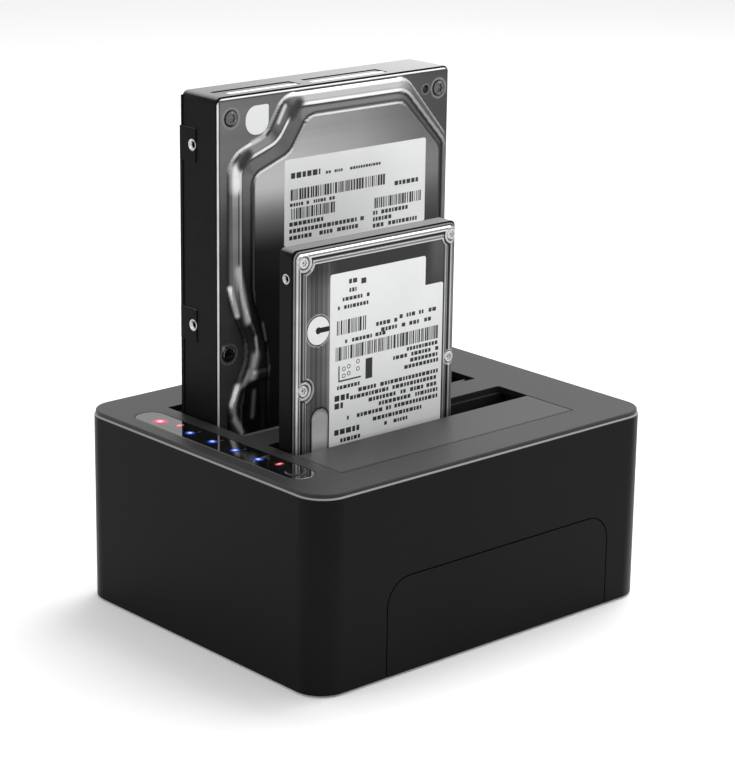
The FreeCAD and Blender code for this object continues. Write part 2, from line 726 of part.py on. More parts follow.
def make_housing_shell():
    outer = prism(body_corners(0), FOOT_REVEAL, RIM_Z)
    outer = outer.makeChamfer(RIM_BEVEL, edges_where(outer, at_level(RIM_Z)))
    shell = outer.cut(prism(body_corners(SHELL_WALL), FOOT_REVEAL - CUT_OVERLAP, RIM_Z + CUT_OVERLAP))
    bosses = []
    for x, y in corner_places(CORNER_SCREW_INSET):
        bosses.append(rod(CORNER_BOSS_RADIUS, PLATE_UNDER_Z - BASE_TOP_Z, (x, y, BASE_TOP_Z), (0, 0, 1)))
    bosses = joined([prism(body_corners(SHELL_WALL / 2), BASE_TOP_Z, PLATE_UNDER_Z).common(boss)
                     for boss in bosses])
    pocket_left = PORT_RECESS_LEFT - PORT_RECESS_WALL
    pocket_right = PORT_RECESS_LEFT + PORT_RECESS_WIDTH + PORT_RECESS_WALL
    pocket = block(pocket_left, pocket_right, RECESS_FLOOR_Y - PORT_RECESS_WALL, HALF_DEPTH - SHELL_WALL / 2,
                   PORT_RECESS_BOTTOM - PORT_RECESS_WALL,
                   PORT_RECESS_BOTTOM + PORT_RECESS_HEIGHT + PORT_RECESS_WALL)
    shell = joined([shell, bosses, pocket])
    recess = panel(corner_points(PORT_RECESS_WIDTH, PORT_RECESS_HEIGHT, PORT_RECESS_RADIUS,
                                 PORT_RECESS_LEFT, PORT_RECESS_BOTTOM), RECESS_FLOOR_Y, HALF_DEPTH + CUT_OVERLAP)
    tip_z = FOOT_REVEAL + CORNER_HEAD_HEIGHT + CORNER_SCREW_LENGTH + CORNER_HOLE_SPARE
    holes = [rod(CORNER_SCREW_RADIUS, tip_z - FOOT_REVEAL, (x, y, FOOT_REVEAL), (0, 0, 1))
             for x, y in corner_places(CORNER_SCREW_INSET)]
    arch = panel(panel_corners(PANEL_GAP), -HALF_DEPTH - CUT_OVERLAP, -HALF_DEPTH + PANEL_THICKNESS)
    openings = port_openings(RECESS_FLOOR_Y - PORT_RECESS_WALL - CUT_OVERLAP, RECESS_FLOOR_Y + CUT_OVERLAP)
    return cut_all(shell, [recess, arch] + holes + openings)


def make_front_panel():
    return panel(panel_corners(0), -HALF_DEPTH, -HALF_DEPTH + PANEL_THICKNESS)


# Top plate with the two bay openings and the window seat
def bay_opening(front, length, z0, z1):
    return prism(corner_points(BAY_WIDTH, length, BAY_CORNER, BAY_LEFT, front), z0, z1)


def make_top_plate():
    plate = prism(body_corners(PLATE_INSET), RIM_Z, BODY_HEIGHT)
    plate = plate.makeChamfer(PLATE_BEVEL, edges_where(plate, at_level(BODY_HEIGHT)))
    register = prism(body_corners(SHELL_WALL + REGISTER_CLEARANCE), PLATE_UNDER_Z, RIM_Z)
    posts = [rod(POST_RADIUS, PLATE_UNDER_Z - INDICATOR_BOARD_TOP + POST_ROOT,
                 (x, y, INDICATOR_BOARD_TOP), (0, 0, 1)) for x, y in post_places()]
    plate = joined([plate, register] + posts)
    seat_z = BODY_HEIGHT - WINDOW_THICKNESS
    top = BODY_HEIGHT + CUT_OVERLAP
    low = PLATE_UNDER_Z - CUT_OVERLAP
    seat = prism(window_corners(-WINDOW_CLEARANCE), seat_z, top)
    cuts = [seat]
    cuts.append(bay_opening(FRONT_BAY_FRONT, FRONT_BAY_LENGTH, low, top))
    cuts.append(bay_opening(REAR_BAY_FRONT, REAR_BAY_LENGTH, low, top))
    cuts += light_holes(low, top)
    pilot = POST_SCREW_LENGTH + POST_HOLE_SPARE - INDICATOR_BOARD_THICKNESS
    cuts += [rod(POST_SCREW_RADIUS, pilot, (x, y, INDICATOR_BOARD_TOP), (0, 0, 1)) for x, y in post_places()]
    return cut_all(plate, cuts)


# Base plate with vents, foot seats, screw seats and the posts that carry the main board
def make_base_plate():
    plate = prism(body_corners(SHELL_WALL + BASE_CLEARANCE), FOOT_REVEAL, BASE_TOP_Z)
    posts = [rod(BOARD_POST_RADIUS, BOARD_BOTTOM_Z - BASE_TOP_Z, (x, y, BASE_TOP_Z), (0, 0, 1))
             for x, y in board_post_places()]
    plate = joined([plate] + posts)
    cuts = []
    for x, y in corner_places(CORNER_SCREW_INSET):
        cuts.append(rod(CORNER_SCREW_RADIUS, BASE_THICKNESS, (x, y, FOOT_REVEAL), (0, 0, 1)))
        cuts.append(rod(CORNER_HEAD_RADIUS + PORT_CLEARANCE, CORNER_HEAD_HEIGHT, (x, y, FOOT_REVEAL), (0, 0, 1)))
    for x, y in corner_places(FOOT_INSET):
        cuts.append(rod(FOOT_RADIUS, FOOT_RECESS, (x, y, FOOT_REVEAL), (0, 0, 1)))
    for index in range(VENT_COUNT):
        x = (index - (VENT_COUNT - 1) / 2) * VENT_PITCH
        cuts.append(centred(x, 0, VENT_WIDTH, VENT_LENGTH, FOOT_REVEAL, BASE_TOP_Z))
    pilot = BOARD_SCREW_LENGTH + BOARD_HOLE_SPARE - BOARD_THICKNESS
    cuts += [rod(BOARD_SCREW_RADIUS, pilot, (x, y, BOARD_BOTTOM_Z - pilot), (0, 0, 1))
             for x, y in board_post_places()]
    return cut_all(plate, cuts)


def make_rubber_feet():
    return Part.makeCompound([rod(FOOT_RADIUS, FOOT_REVEAL + FOOT_RECESS, (x, y, 0), (0, 0, 1))
                              for x, y in corner_places(FOOT_INSET)])


def screw(radius, length, head_radius, head_height, start, direction):
    # Start is the middle of the head's seat; direction points from the seat towards the tip.
    axis = Vector(*direction)
    seat = Vector(*start)
    shank = Part.makeCylinder(radius, length, seat, axis)
    head = Part.makeCylinder(head_radius, head_height, seat - axis * head_height, axis)
    return shank.fuse(head).removeSplitter()


def make_housing_screws():
    seat_z = FOOT_REVEAL + CORNER_HEAD_HEIGHT
    return Part.makeCompound([screw(CORNER_SCREW_RADIUS, CORNER_SCREW_LENGTH, CORNER_HEAD_RADIUS,
                                    CORNER_HEAD_HEIGHT, (x, y, seat_z), (0, 0, 1))
                              for x, y in corner_places(CORNER_SCREW_INSET)])


# Bay frames: deep wells that hang under the top plate, one for each bay
def frame_extents(front, length):
    left = BAY_LEFT - FRAME_SIDE_ROOM
    right = BAY_RIGHT + FRAME_SIDE_ROOM
    return left, right, front, front + length - FRAME_LEDGE


def hinge_point(front):
    return (front + FLAP_GAP + KNUCKLE_RADIUS, BODY_HEIGHT - HINGE_DROP)


def make_bay_frame(front, length, drive_bottom, tongue_y, rib_places):
    left, right, near, far = frame_extents(front, length)
    floor_top = drive_bottom - DRIVE_SEAT_GAP
    floor_bottom = floor_top - FRAME_WALL
    wall = FRAME_WALL
    body = block(left - wall, right + wall, near - wall, far + wall, floor_bottom, PLATE_UNDER_Z)
    flange = block(left - wall, right + wall, near - wall - FRAME_FLANGE, far + wall + FRAME_FLANGE,
                   PLATE_UNDER_Z - wall, PLATE_UNDER_Z)
    frame = joined([body, flange])
    frame = frame.cut(block(left, right, near, far, floor_top, PLATE_UNDER_Z + CUT_OVERLAP))
    ribs = []
    for y in rib_places:
        rib_top = PLATE_UNDER_Z - GUIDE_RIB_TOP_DROP
        low = y - GUIDE_RIB_THICKNESS / 2
        high = y + GUIDE_RIB_THICKNESS / 2
        ribs.append(block(left, BAY_LEFT, low, high, floor_top, rib_top))
        ribs.append(block(BAY_RIGHT, right, low, high, floor_top, rib_top))
    frame = joined([frame] + ribs)
    socket_width = PLUG_MOUTH_WIDTH + 2 * SOCKET_OPENING_CLEARANCE
    socket_depth = PLUG_MOUTH_DEPTH + 2 * SOCKET_OPENING_CLEARANCE
    opening = centred(CONNECTOR_X, tongue_y, socket_width, socket_depth,
                      floor_bottom - CUT_OVERLAP, floor_top + CUT_OVERLAP)
    hinge_y, hinge_z = hinge_point(front)
    bore = rod(PIN_RADIUS, right - left + 2 * wall, (left - wall, hinge_y, hinge_z), (1, 0, 0))
    return cut_all(frame, [opening, bore])


def front_rib_places():
    return [DRIVE25_FRONT + DRIVE25_THICKNESS / 2]


def rear_rib_places():
    return [DRIVE35_BACK - DRIVE35_THICKNESS / 4]


# Dust flap, drawn closed and flush with the top face
def make_closed_flap(front):
    left = BAY_LEFT + FLAP_GAP
    right = BAY_RIGHT - FLAP_GAP
    near = front + FLAP_GAP
    far = front + FLAP_LENGTH
    under = BODY_HEIGHT - FLAP_THICKNESS
    hinge_y, hinge_z = hinge_point(front)
    pieces = [block(left, right, near, far, under, BODY_HEIGHT)]
    for x in (left, right - KNUCKLE_WIDTH):
        pieces.append(block(x, x + KNUCKLE_WIDTH, near, near + 2 * KNUCKLE_RADIUS, hinge_z, under))
        pieces.append(rod(KNUCKLE_RADIUS, KNUCKLE_WIDTH, (x, hinge_y, hinge_z), (1, 0, 0)))
    rib_far = far - FLAP_RIB_SETBACK
    pieces.append(block(left + KNUCKLE_WIDTH, right - KNUCKLE_WIDTH, rib_far - FLAP_RIB_WIDTH, rib_far,
                        under - FLAP_RIB_HEIGHT, under))
    tab_top = PLATE_UNDER_Z - STOP_TAB_CLEARANCE
    tab_bottom = tab_top - STOP_TAB_THICKNESS
    tab_near = far - STOP_TAB_LENGTH
    for start, end, inner, outer in ((left, left + FLAP_THICKNESS, BAY_LEFT - STOP_TAB_REACH, left),
                                     (right - FLAP_THICKNESS, right, right, BAY_RIGHT + STOP_TAB_REACH)):
        pieces.append(block(start, end, tab_near, far, tab_bottom, under))
        pieces.append(block(inner, outer, tab_near, far, tab_bottom, tab_top))
    flap = joined(pieces)
    bore = rod(PIN_RADIUS + PIN_CLEARANCE, right - left, (left, hinge_y, hinge_z), (1, 0, 0))
    return cut_all(flap, [bore])


def rear_flap_lean():
    # How far the 3.5 inch drive holds the rear flap down, in degrees.
    arm = FLAP_LENGTH - FLAP_GAP - KNUCKLE_RADIUS
    hinge_y = hinge_point(REAR_BAY_FRONT)[0]
    room = DRIVE35_FRONT - FLAP_TIP_GAP - hinge_y
    reach = math.hypot(arm, HINGE_DROP)
    return math.degrees(math.atan2(HINGE_DROP, arm) + math.acos(room / reach))


def make_flap_front():
    return make_closed_flap(FRONT_BAY_FRONT)


def make_flap_rear():
    flap = make_closed_flap(REAR_BAY_FRONT)
    hinge_y, hinge_z = hinge_point(REAR_BAY_FRONT)
    flap.rotate(Vector(0, hinge_y, hinge_z), Vector(-1, 0, 0), rear_flap_lean())
    return flap


def make_flap_pin(front):
    left, right, near, far = frame_extents(front, FLAP_LENGTH)
    hinge_y, hinge_z = hinge_point(front)
    length = right - left + 2 * FRAME_WALL
    return rod(PIN_RADIUS, length, (left - FRAME_WALL, hinge_y, hinge_z), (1, 0, 0))


def make_flap_spring(front):
    # A closely wound torsion spring on the pin, drawn as a sleeve; its fixed leg runs down the frame's front wall.
    hinge_y, hinge_z = hinge_point(front)
    inner = PIN_RADIUS + SPRING_CLEARANCE
    middle = inner + SPRING_WIRE_RADIUS
    start = BAY_LEFT + FLAP_GAP + KNUCKLE_WIDTH + SPRING_OFFSET
    place = (start, hinge_y, hinge_z)
    coil = rod(middle + SPRING_WIRE_RADIUS, SPRING_WIDTH, place, (1, 0, 0))
    coil = coil.cut(rod(inner, SPRING_WIDTH, place, (1, 0, 0)))
    leg = rod(SPRING_LEG_RADIUS, SPRING_LEG,
              (start + SPRING_LEG_FROM_END, hinge_y - middle, hinge_z - SPRING_LEG), (0, 0, 1))
    return joined([coil, leg])


# Indicator window, lights, button and their board
def make_indicator_window():
    lens = prism(window_corners(0), BODY_HEIGHT - WINDOW_THICKNESS, BODY_HEIGHT)
    lens = lens.makeChamfer(WINDOW_BEVEL, edges_where(lens, at_level(BODY_HEIGHT)))
    return cut_all(lens, light_holes(BODY_HEIGHT - WINDOW_THICKNESS - CUT_OVERLAP, BODY_HEIGHT + CUT_OVERLAP))


def make_led(x, y, radius):
    top = BODY_HEIGHT + LED_PROUD
    flange_radius = radius + LED_FLANGE_RADIUS - LED_RADIUS
    flange = rod(flange_radius, LED_FLANGE_HEIGHT, (x, y, INDICATOR_BOARD_TOP), (0, 0, 1))
    stem = rod(radius, top - INDICATOR_BOARD_TOP, (x, y, INDICATOR_BOARD_TOP), (0, 0, 1))
    return joined([flange, stem])


def make_progress_leds():
    return Part.makeCompound([make_led(x, y, LED_RADIUS) for x, y in blue_led_places()])


def make_power_led():
    x, y = power_led_place()
    return make_led(x, y, POWER_LED_RADIUS)


def make_dash_leds():
    top = BODY_HEIGHT + DASH_PROUD
    return Part.makeCompound([centred(x, y, DASH_WIDTH, DASH_LENGTH, INDICATOR_BOARD_TOP, top)
                              for x, y in dash_places()])


def make_clone_button():
    x, y = button_place()
    flange_top = PLATE_UNDER_Z - BUTTON_FLANGE_GAP
    flange_bottom = flange_top - BUTTON_FLANGE_THICKNESS
    top = BODY_HEIGHT + BUTTON_PROUD
    cap = rod(BUTTON_RADIUS, top - flange_bottom, (x, y, flange_bottom), (0, 0, 1))
    cap = cap.makeChamfer(BUTTON_BEVEL, edges_where(cap, at_level(top)))
    flange = rod(BUTTON_FLANGE_RADIUS, BUTTON_FLANGE_THICKNESS, (x, y, flange_bottom), (0, 0, 1))
    return joined([cap, flange])


def key_switch_top():
    return INDICATOR_BOARD_TOP + KEY_SWITCH_HEIGHT


def make_button_plunger():
    x, y = button_place()
    top = PLATE_UNDER_Z - BUTTON_FLANGE_GAP - BUTTON_FLANGE_THICKNESS
    return rod(PLUNGER_RADIUS, PLUNGER_LENGTH, (x, y, top - PLUNGER_LENGTH), (0, 0, 1))


def make_key_switch():
    x, y = button_place()
    case = centred(x, y, KEY_SWITCH_SIZE, KEY_SWITCH_SIZE, INDICATOR_BOARD_TOP, key_switch_top())
    well = rod(PLUNGER_RADIUS + PLUNGER_CLEARANCE, KEY_SWITCH_WELL,
               (x, y, key_switch_top() - KEY_SWITCH_WELL), (0, 0, 1))
    return cut_all(case, [well])


def make_indicator_board():
    middle = WINDOW_LEFT + WINDOW_WIDTH / 2
    near = WINDOW_FRONT + INDICATOR_BOARD_END_GAP
    far = WINDOW_FRONT + WINDOW_LENGTH - INDICATOR_BOARD_END_GAP
    board = block(middle - INDICATOR_BOARD_WIDTH / 2, middle + INDICATOR_BOARD_WIDTH / 2, near, far,
                  INDICATOR_BOARD_BOTTOM, INDICATOR_BOARD_TOP)
    holes = [rod(POST_SCREW_RADIUS, INDICATOR_BOARD_THICKNESS, (x, y, INDICATOR_BOARD_BOTTOM), (0, 0, 1))
             for x, y in post_places()]
    return cut_all(board, holes)


def make_indicator_screws():
    return Part.makeCompound([screw(POST_SCREW_RADIUS, POST_SCREW_LENGTH, POST_SCREW_HEAD_RADIUS,
                                    POST_SCREW_HEAD_HEIGHT, (x, y, INDICATOR_BOARD_BOTTOM), (0, 0, 1))
                              for x, y in post_places()])


def ribbon_centre():
    return window_place(0, WINDOW_LENGTH / 2 + RIBBON_FROM_MIDDLE)


def make_ribbon_plugs():
    x, y = ribbon_centre()
    lower = centred(x, y, RIBBON_PLUG_DEPTH, RIBBON_PLUG_WIDTH, BOARD_TOP_Z, BOARD_TOP_Z + RIBBON_PLUG_HEIGHT)
    upper = centred(x, y, RIBBON_PLUG_DEPTH, RIBBON_PLUG_WIDTH,
                    INDICATOR_BOARD_BOTTOM - RIBBON_PLUG_HEIGHT, INDICATOR_BOARD_BOTTOM)
    return Part.makeCompound([lower, upper])


def make_ribbon_cable():
    x, y = ribbon_centre()
    return centred(x, y, RIBBON_THICKNESS, RIBBON_WIDTH, BOARD_TOP_Z + RIBBON_PLUG_HEIGHT,
                   INDICATOR_BOARD_BOTTOM - RIBBON_PLUG_HEIGHT)


# Main board and what it carries
def make_main_board():
    board = block(-BOARD_WIDTH / 2, BOARD_WIDTH / 2, -BOARD_DEPTH / 2, BOARD_DEPTH / 2,
                  BOARD_BOTTOM_Z, BOARD_TOP_Z)
    tab_far = RECESS_FLOOR_Y - PORT_RECESS_WALL - BOARD_TAB_GAP
    tab = block(-BOARD_TAB_WIDTH / 2, BOARD_TAB_WIDTH / 2, 0, tab_far, BOARD_BOTTOM_Z, BOARD_TOP_Z)
    holes = [rod(BOARD_SCREW_RADIUS, BOARD_THICKNESS, (x, y, BOARD_BOTTOM_Z), (0, 0, 1))
             for x, y in board_post_places()]
    return cut_all(joined([board, tab]), holes)


def make_board_screws():
    return Part.makeCompound([screw(BOARD_SCREW_RADIUS, BOARD_SCREW_LENGTH, BOARD_SCREW_HEAD_RADIUS,
                                    BOARD_SCREW_HEAD_HEIGHT, (x, y, BOARD_TOP_Z), (0, 0, -1))
                              for x, y in board_post_places()])


def make_board_chips():
    top = BOARD_TOP_Z + CHIP_HEIGHT
    bridge = centred(BRIDGE_CHIP_X, FRONT_BAY_BACK, BRIDGE_CHIP_SIZE, BRIDGE_CHIP_SIZE, BOARD_TOP_Z, top)
    first = BRIDGE_CHIP_X + (BRIDGE_CHIP_SIZE + SMALL_CHIP_PITCH) / 2
    small = [centred(x, FRONT_BAY_BACK, SMALL_CHIP_SIZE, SMALL_CHIP_SIZE, BOARD_TOP_Z, top)
             for x in (first, first + SMALL_CHIP_PITCH)]
    return Part.makeCompound([bridge] + small)


def make_board_capacitors():
    y = FRONT_BAY_FRONT + CAPACITOR_PITCH
    return Part.makeCompound([rod(CAPACITOR_RADIUS, CAPACITOR_HEIGHT,
                                  (index * CAPACITOR_PITCH, y, BOARD_TOP_Z), (0, 0, 1))
                              for index in range(CAPACITOR_COUNT)])


# The tongues stand in one line, split into a signal and a power part
def tongue_spans():
    whole = SIGNAL_TONGUE_WIDTH + TONGUE_SPACING + POWER_TONGUE_WIDTH
    left = CONNECTOR_X - whole / 2
    return [(left, left + SIGNAL_TONGUE_WIDTH), (left + whole - POWER_TONGUE_WIDTH, left + whole)]


def make_socket(tongue_y, drive_bottom):
    top = drive_bottom + PLUG_MOUTH_HEIGHT - SOCKET_TOP_CLEARANCE
    width = PLUG_MOUTH_WIDTH - 2 * SOCKET_SIDE_CLEARANCE
    depth = PLUG_MOUTH_DEPTH - 2 * SOCKET_SIDE_CLEARANCE
    column = centred(CONNECTOR_X, tongue_y, width, depth, BOARD_TOP_Z, top)
    foot = centred(CONNECTOR_X, tongue_y, width + 2 * SOCKET_FOOT_EXTRA, depth + 2 * SOCKET_FOOT_EXTRA,
                   BOARD_TOP_Z, BOARD_TOP_Z + SOCKET_FOOT_HEIGHT)
    half = TONGUE_THICKNESS / 2 + SLOT_CLEARANCE
    slots = [block(x0 - SLOT_CLEARANCE, x1 + SLOT_CLEARANCE, tongue_y - half, tongue_y + half,
                   drive_bottom, top + CUT_OVERLAP) for x0, x1 in tongue_spans()]
    return cut_all(joined([column, foot]), slots)


def make_plug(tongue_y, back, bottom):
    width = PLUG_WIDTH
    front = tongue_y - PLUG_DEPTH / 2
    far = min(tongue_y + PLUG_DEPTH / 2, back)
    shell = block(CONNECTOR_X - width / 2, CONNECTOR_X + width / 2, front, far, bottom, bottom + PLUG_HEIGHT)
    mouth = centred(CONNECTOR_X, tongue_y, PLUG_MOUTH_WIDTH, PLUG_MOUTH_DEPTH, bottom - CUT_OVERLAP,
                    bottom + PLUG_MOUTH_HEIGHT)
    half = TONGUE_THICKNESS / 2
    tongues = [block(x0, x1, tongue_y - half, tongue_y + half, bottom + TONGUE_SHORT,
                     bottom + PLUG_MOUTH_HEIGHT + CONTACT_ROOT) for x0, x1 in tongue_spans()]
    return joined([shell.cut(mouth)] + tongues)


# Rear ports
def usb_profile(inset):
    half = USB_WIDTH / 2 - inset
    hat_half = USB_HAT_WIDTH / 2 - inset
    low = BOARD_TOP_Z + inset
    shoulder = BOARD_TOP_Z + USB_HEIGHT - USB_HAT_HEIGHT - inset
    top = BOARD_TOP_Z + USB_HEIGHT - inset
    return [(USB_X - half, low, USB_CORNER), (USB_X + half, low, USB_CORNER),
            (USB_X + half, shoulder, USB_CORNER), (USB_X + hat_half, shoulder, 0),
            (USB_X + hat_half, top, USB_HAT_CORNER), (USB_X - hat_half, top, USB_HAT_CORNER),
            (USB_X - hat_half, shoulder, 0), (USB_X - half, shoulder, USB_CORNER)]


def make_usb_port():
    face = RECESS_FLOOR_Y
    can = panel(usb_profile(0), face - USB_DEPTH, face)
    mouth = panel(usb_profile(USB_SHELL), face - USB_MOUTH_DEPTH, face + CUT_OVERLAP)
    middle = BOARD_TOP_Z + (USB_HEIGHT - USB_HAT_HEIGHT) / 2
    tongue = block(USB_X - USB_TONGUE_WIDTH / 2, USB_X + USB_TONGUE_WIDTH / 2, face - USB_MOUTH_DEPTH - CONTACT_ROOT,
                   face - USB_SHELL, middle - USB_TONGUE_HEIGHT / 2, middle + USB_TONGUE_HEIGHT / 2)
    return joined([can.cut(mouth), tongue])


def make_dc_jack():
    face = RECESS_FLOOR_Y
    body = block(JACK_X - JACK_WIDTH / 2, JACK_X + JACK_WIDTH / 2, face - JACK_DEPTH, face,
                 BOARD_TOP_Z, BOARD_TOP_Z + JACK_HEIGHT)
    z = BOARD_TOP_Z + JACK_HEIGHT / 2
    bore = rod(JACK_BORE_RADIUS, JACK_BORE_DEPTH, (JACK_X, face - JACK_BORE_DEPTH, z), (0, 1, 0))
    pin = rod(JACK_PIN_RADIUS, JACK_BORE_DEPTH, (JACK_X, face - JACK_BORE_DEPTH - CONTACT_ROOT, z), (0, 1, 0))
    return joined([body.cut(bore), pin])


def rocker_pivot_y():
    return RECESS_FLOOR_Y - ROCKER_PIVOT_DEPTH


def make_power_switch_body():
    face = RECESS_FLOOR_Y
    half = SWITCH_WIDTH / 2
    low = PORT_CENTRE_Z - SWITCH_HEIGHT / 2
    high = PORT_CENTRE_Z + SWITCH_HEIGHT / 2
    case = block(SWITCH_X - half, SWITCH_X + half, face - SWITCH_DEPTH, face + SWITCH_BEZEL_THICKNESS, low, high)
    bezel = block(SWITCH_X - SWITCH_BEZEL_WIDTH / 2, SWITCH_X + SWITCH_BEZEL_WIDTH / 2, face,
                  face + SWITCH_BEZEL_THICKNESS, PORT_CENTRE_Z - SWITCH_BEZEL_HEIGHT / 2,
                  PORT_CENTRE_Z + SWITCH_BEZEL_HEIGHT / 2)
    room = ROCKER_HEIGHT / 2 + ROCKER_CLEARANCE
    side = ROCKER_WIDTH / 2 + ROCKER_END_CLEARANCE
    cavity = block(SWITCH_X - side, SWITCH_X + side, face - SWITCH_CAVITY_DEPTH, face + SWITCH_BEZEL_THICKNESS,
                   PORT_CENTRE_Z - room, PORT_CENTRE_Z + room)
    length = ROCKER_HEIGHT + 2 * ROCKER_TRUNNION_REACH + 2 * ROCKER_CLEARANCE
    bore = rod(ROCKER_TRUNNION_RADIUS + PIN_CLEARANCE, length,
               (SWITCH_X, rocker_pivot_y(), PORT_CENTRE_Z - length / 2), (0, 0, 1))
    return cut_all(joined([case, bezel]), [cavity, bore])


def make_power_rocker():
    half = ROCKER_WIDTH / 2
    pivot = rocker_pivot_y()
    low = PORT_CENTRE_Z - ROCKER_HEIGHT / 2
    points = [(-half, ROCKER_SKIRT), (-half, ROCKER_RISE), (0, ROCKER_RISE - ROCKER_DISH), (half, ROCKER_RISE),
              (half, ROCKER_SKIRT), (ROCKER_SKIRT, -ROCKER_SKIRT), (-ROCKER_SKIRT, -ROCKER_SKIRT)]
    corners = [Vector(SWITCH_X + x, pivot + y, low) for x, y in points]
    key = Part.Face(Part.makePolygon(corners + corners[:1])).extrude(Vector(0, 0, ROCKER_HEIGHT))
    length = ROCKER_HEIGHT + 2 * ROCKER_TRUNNION_REACH
    trunnion = rod(ROCKER_TRUNNION_RADIUS, length, (SWITCH_X, pivot, PORT_CENTRE_Z - length / 2), (0, 0, 1))
    rocker = joined([key, trunnion])
    rocker.rotate(Vector(SWITCH_X, pivot, 0), Vector(0, 0, 1), -ROCKER_TILT)
    return rocker


# A drive stands on end. Its own measures are u from its left side, v from its lower end and depth from its front.
class DrivePlace:
    def __init__(self, left, front, bottom):
        self.left = left
        self.front = front
        self.bottom = bottom

    def plane(self, depth):
        return lambda u, v: Vector(self.left + u, self.front + depth, self.bottom + v)

    def slab(self, corners, near, far):
        face = Part.Face(outline(corners, self.plane(near)))
        return face.extrude(Vector(0, far - near, 0))

    def slope(self, corners, near, bevel, far):
        # A slab whose edge at the far side is bevelled all round.
        slab = self.slab(corners, near, far)
        return slab.makeChamfer(bevel, edges_where(slab, at_depth(self.front + far)))

    def disc(self, u, v, radius, near, far):
        return rod(radius, far - near, self.plane(near)(u, v), (0, 1, 0))

    def brick(self, u0, u1, v0, v1, near, far):
        low = self.plane(near)(u0, v0)
        return block(low.x, low.x + u1 - u0, low.y, low.y + far - near, low.z, low.z + v1 - v0)


DRIVE35 = DrivePlace(DRIVE35_LEFT, DRIVE35_FRONT, DRIVE35_BOTTOM)
DRIVE25 = DrivePlace(DRIVE35_LEFT, DRIVE25_FRONT, DRIVE25_BOTTOM)

COVER35_BACK = DRIVE35_COVER_STEP + DRIVE35_COVER_SHEET
BASE35_BACK = DRIVE35_THICKNESS - DRIVE35_BACK_INSET
BOARD35_SEAT = DRIVE35_THICKNESS - TONGUE_FROM_BACK - DRIVE35_BOARD_THICKNESS / 2
CHAMBER35_FLOOR = BOARD35_SEAT - DRIVE35_BOARD_GAP - DRIVE35_FLOOR
COVER25_BACK = DRIVE25_COVER_STEP + DRIVE25_COVER_SHEET
BOARD25_SEAT = DRIVE25_THICKNESS - TONGUE_FROM_BACK + DRIVE25_BOARD_GAP


def stepped_corners(left, right, bottom, top, cut, step, radii):
    # An outline that cuts off its top right corner and steps in at its top left one.
    cut_width, cut_height = cut
    step_width, step_height = step
    corner, cut_low, cut_top, step_top, step_foot, step_left = radii
    return [(left, bottom, corner), (right, bottom, corner), (right, top - cut_height, cut_low),
            (right - cut_width, top, cut_top), (left + step_width, top, step_top),
            (left + STEP_FOOT_SHARE * step_width, top - STEP_FOOT_SHARE * step_height, step_foot),
            (left, top - step_height, step_left)]


def raised_outline():
    # Outer foot of the embossed bead; it curls in on the left beside the middle screw.
    corners = stepped_corners(BEAD_FROM_LEFT, DRIVE35_WIDTH - BEAD_FROM_RIGHT, BEAD_FROM_BOTTOM,
                              DRIVE35_LENGTH - BEAD_FROM_TOP, (BEAD_CUT_WIDTH, BEAD_CUT_HEIGHT),
                              (BEAD_STEP_WIDTH, BEAD_STEP_HEIGHT), BEAD_RADII)
    curl = [(BEAD_FROM_LEFT, MIDDLE_SCREW_HEIGHT + CURL_HEIGHT, BEAD_CURL_RADII[0]),
            (BEAD_FROM_LEFT + CURL_DEPTH, MIDDLE_SCREW_HEIGHT, BEAD_CURL_RADII[1]),
            (BEAD_FROM_LEFT, MIDDLE_SCREW_HEIGHT - CURL_HEIGHT, BEAD_CURL_RADII[2])]
    return corners + curl


def valley_outline():
    # Where the bead falls into the valley inside it.
    corners = stepped_corners(VALLEY_FROM_LEFT, DRIVE35_WIDTH - VALLEY_FROM_RIGHT, VALLEY_FROM_BOTTOM,
                              DRIVE35_LENGTH - VALLEY_FROM_TOP, (VALLEY_CUT_WIDTH, VALLEY_CUT_HEIGHT),
                              (VALLEY_STEP_WIDTH, VALLEY_STEP_HEIGHT), VALLEY_RADII)
    curl = [(VALLEY_FROM_LEFT, MIDDLE_SCREW_HEIGHT + CURL_HEIGHT, VALLEY_CURL_RADII[0]),
            (VALLEY_FROM_LEFT + CURL_DEPTH, MIDDLE_SCREW_HEIGHT, VALLEY_CURL_RADII[1]),
            (VALLEY_FROM_LEFT, MIDDLE_SCREW_HEIGHT - CURL_HEIGHT, VALLEY_CURL_RADII[2])]
    return corners + curl


def plateau_outline():
    # The flat middle of the cover, which carries the label.
    corners = stepped_corners(PLATEAU_FROM_LEFT, DRIVE35_WIDTH - PLATEAU_FROM_RIGHT, PLATEAU_FROM_BOTTOM,
                              DRIVE35_LENGTH - PLATEAU_FROM_TOP, (PLATEAU_CUT_WIDTH, PLATEAU_CUT_HEIGHT),
                              (PLATEAU_STEP_WIDTH, PLATEAU_STEP_HEIGHT), PLATEAU_RADII)
    corners[0] = (PLATEAU_FROM_LEFT + PLATEAU_WAIST, PLATEAU_FROM_BOTTOM, PLATEAU_RADII[0])
    curl = [(PLATEAU_FROM_LEFT, MIDDLE_SCREW_HEIGHT + CURL_HEIGHT, PLATEAU_CURL_RADIUS),
            (PLATEAU_FROM_LEFT + PLATEAU_WAIST, MIDDLE_SCREW_HEIGHT, PLATEAU_CURL_RADIUS)]
    return corners + curl


def pot_outline():
    # A drop-shaped pot beside the bead.
    left = VALLEY_FROM_LEFT
    right = left + POT_WIDTH
    return [(left, POT_BOTTOM, POT_RADIUS), (right, POT_BOTTOM, POT_RADIUS),
            (right - POT_TAPER, BRIDGE_BOTTOM, POT_TIP_RADIUS), (left + POT_TAPER, BRIDGE_BOTTOM, POT_TIP_RADIUS)]


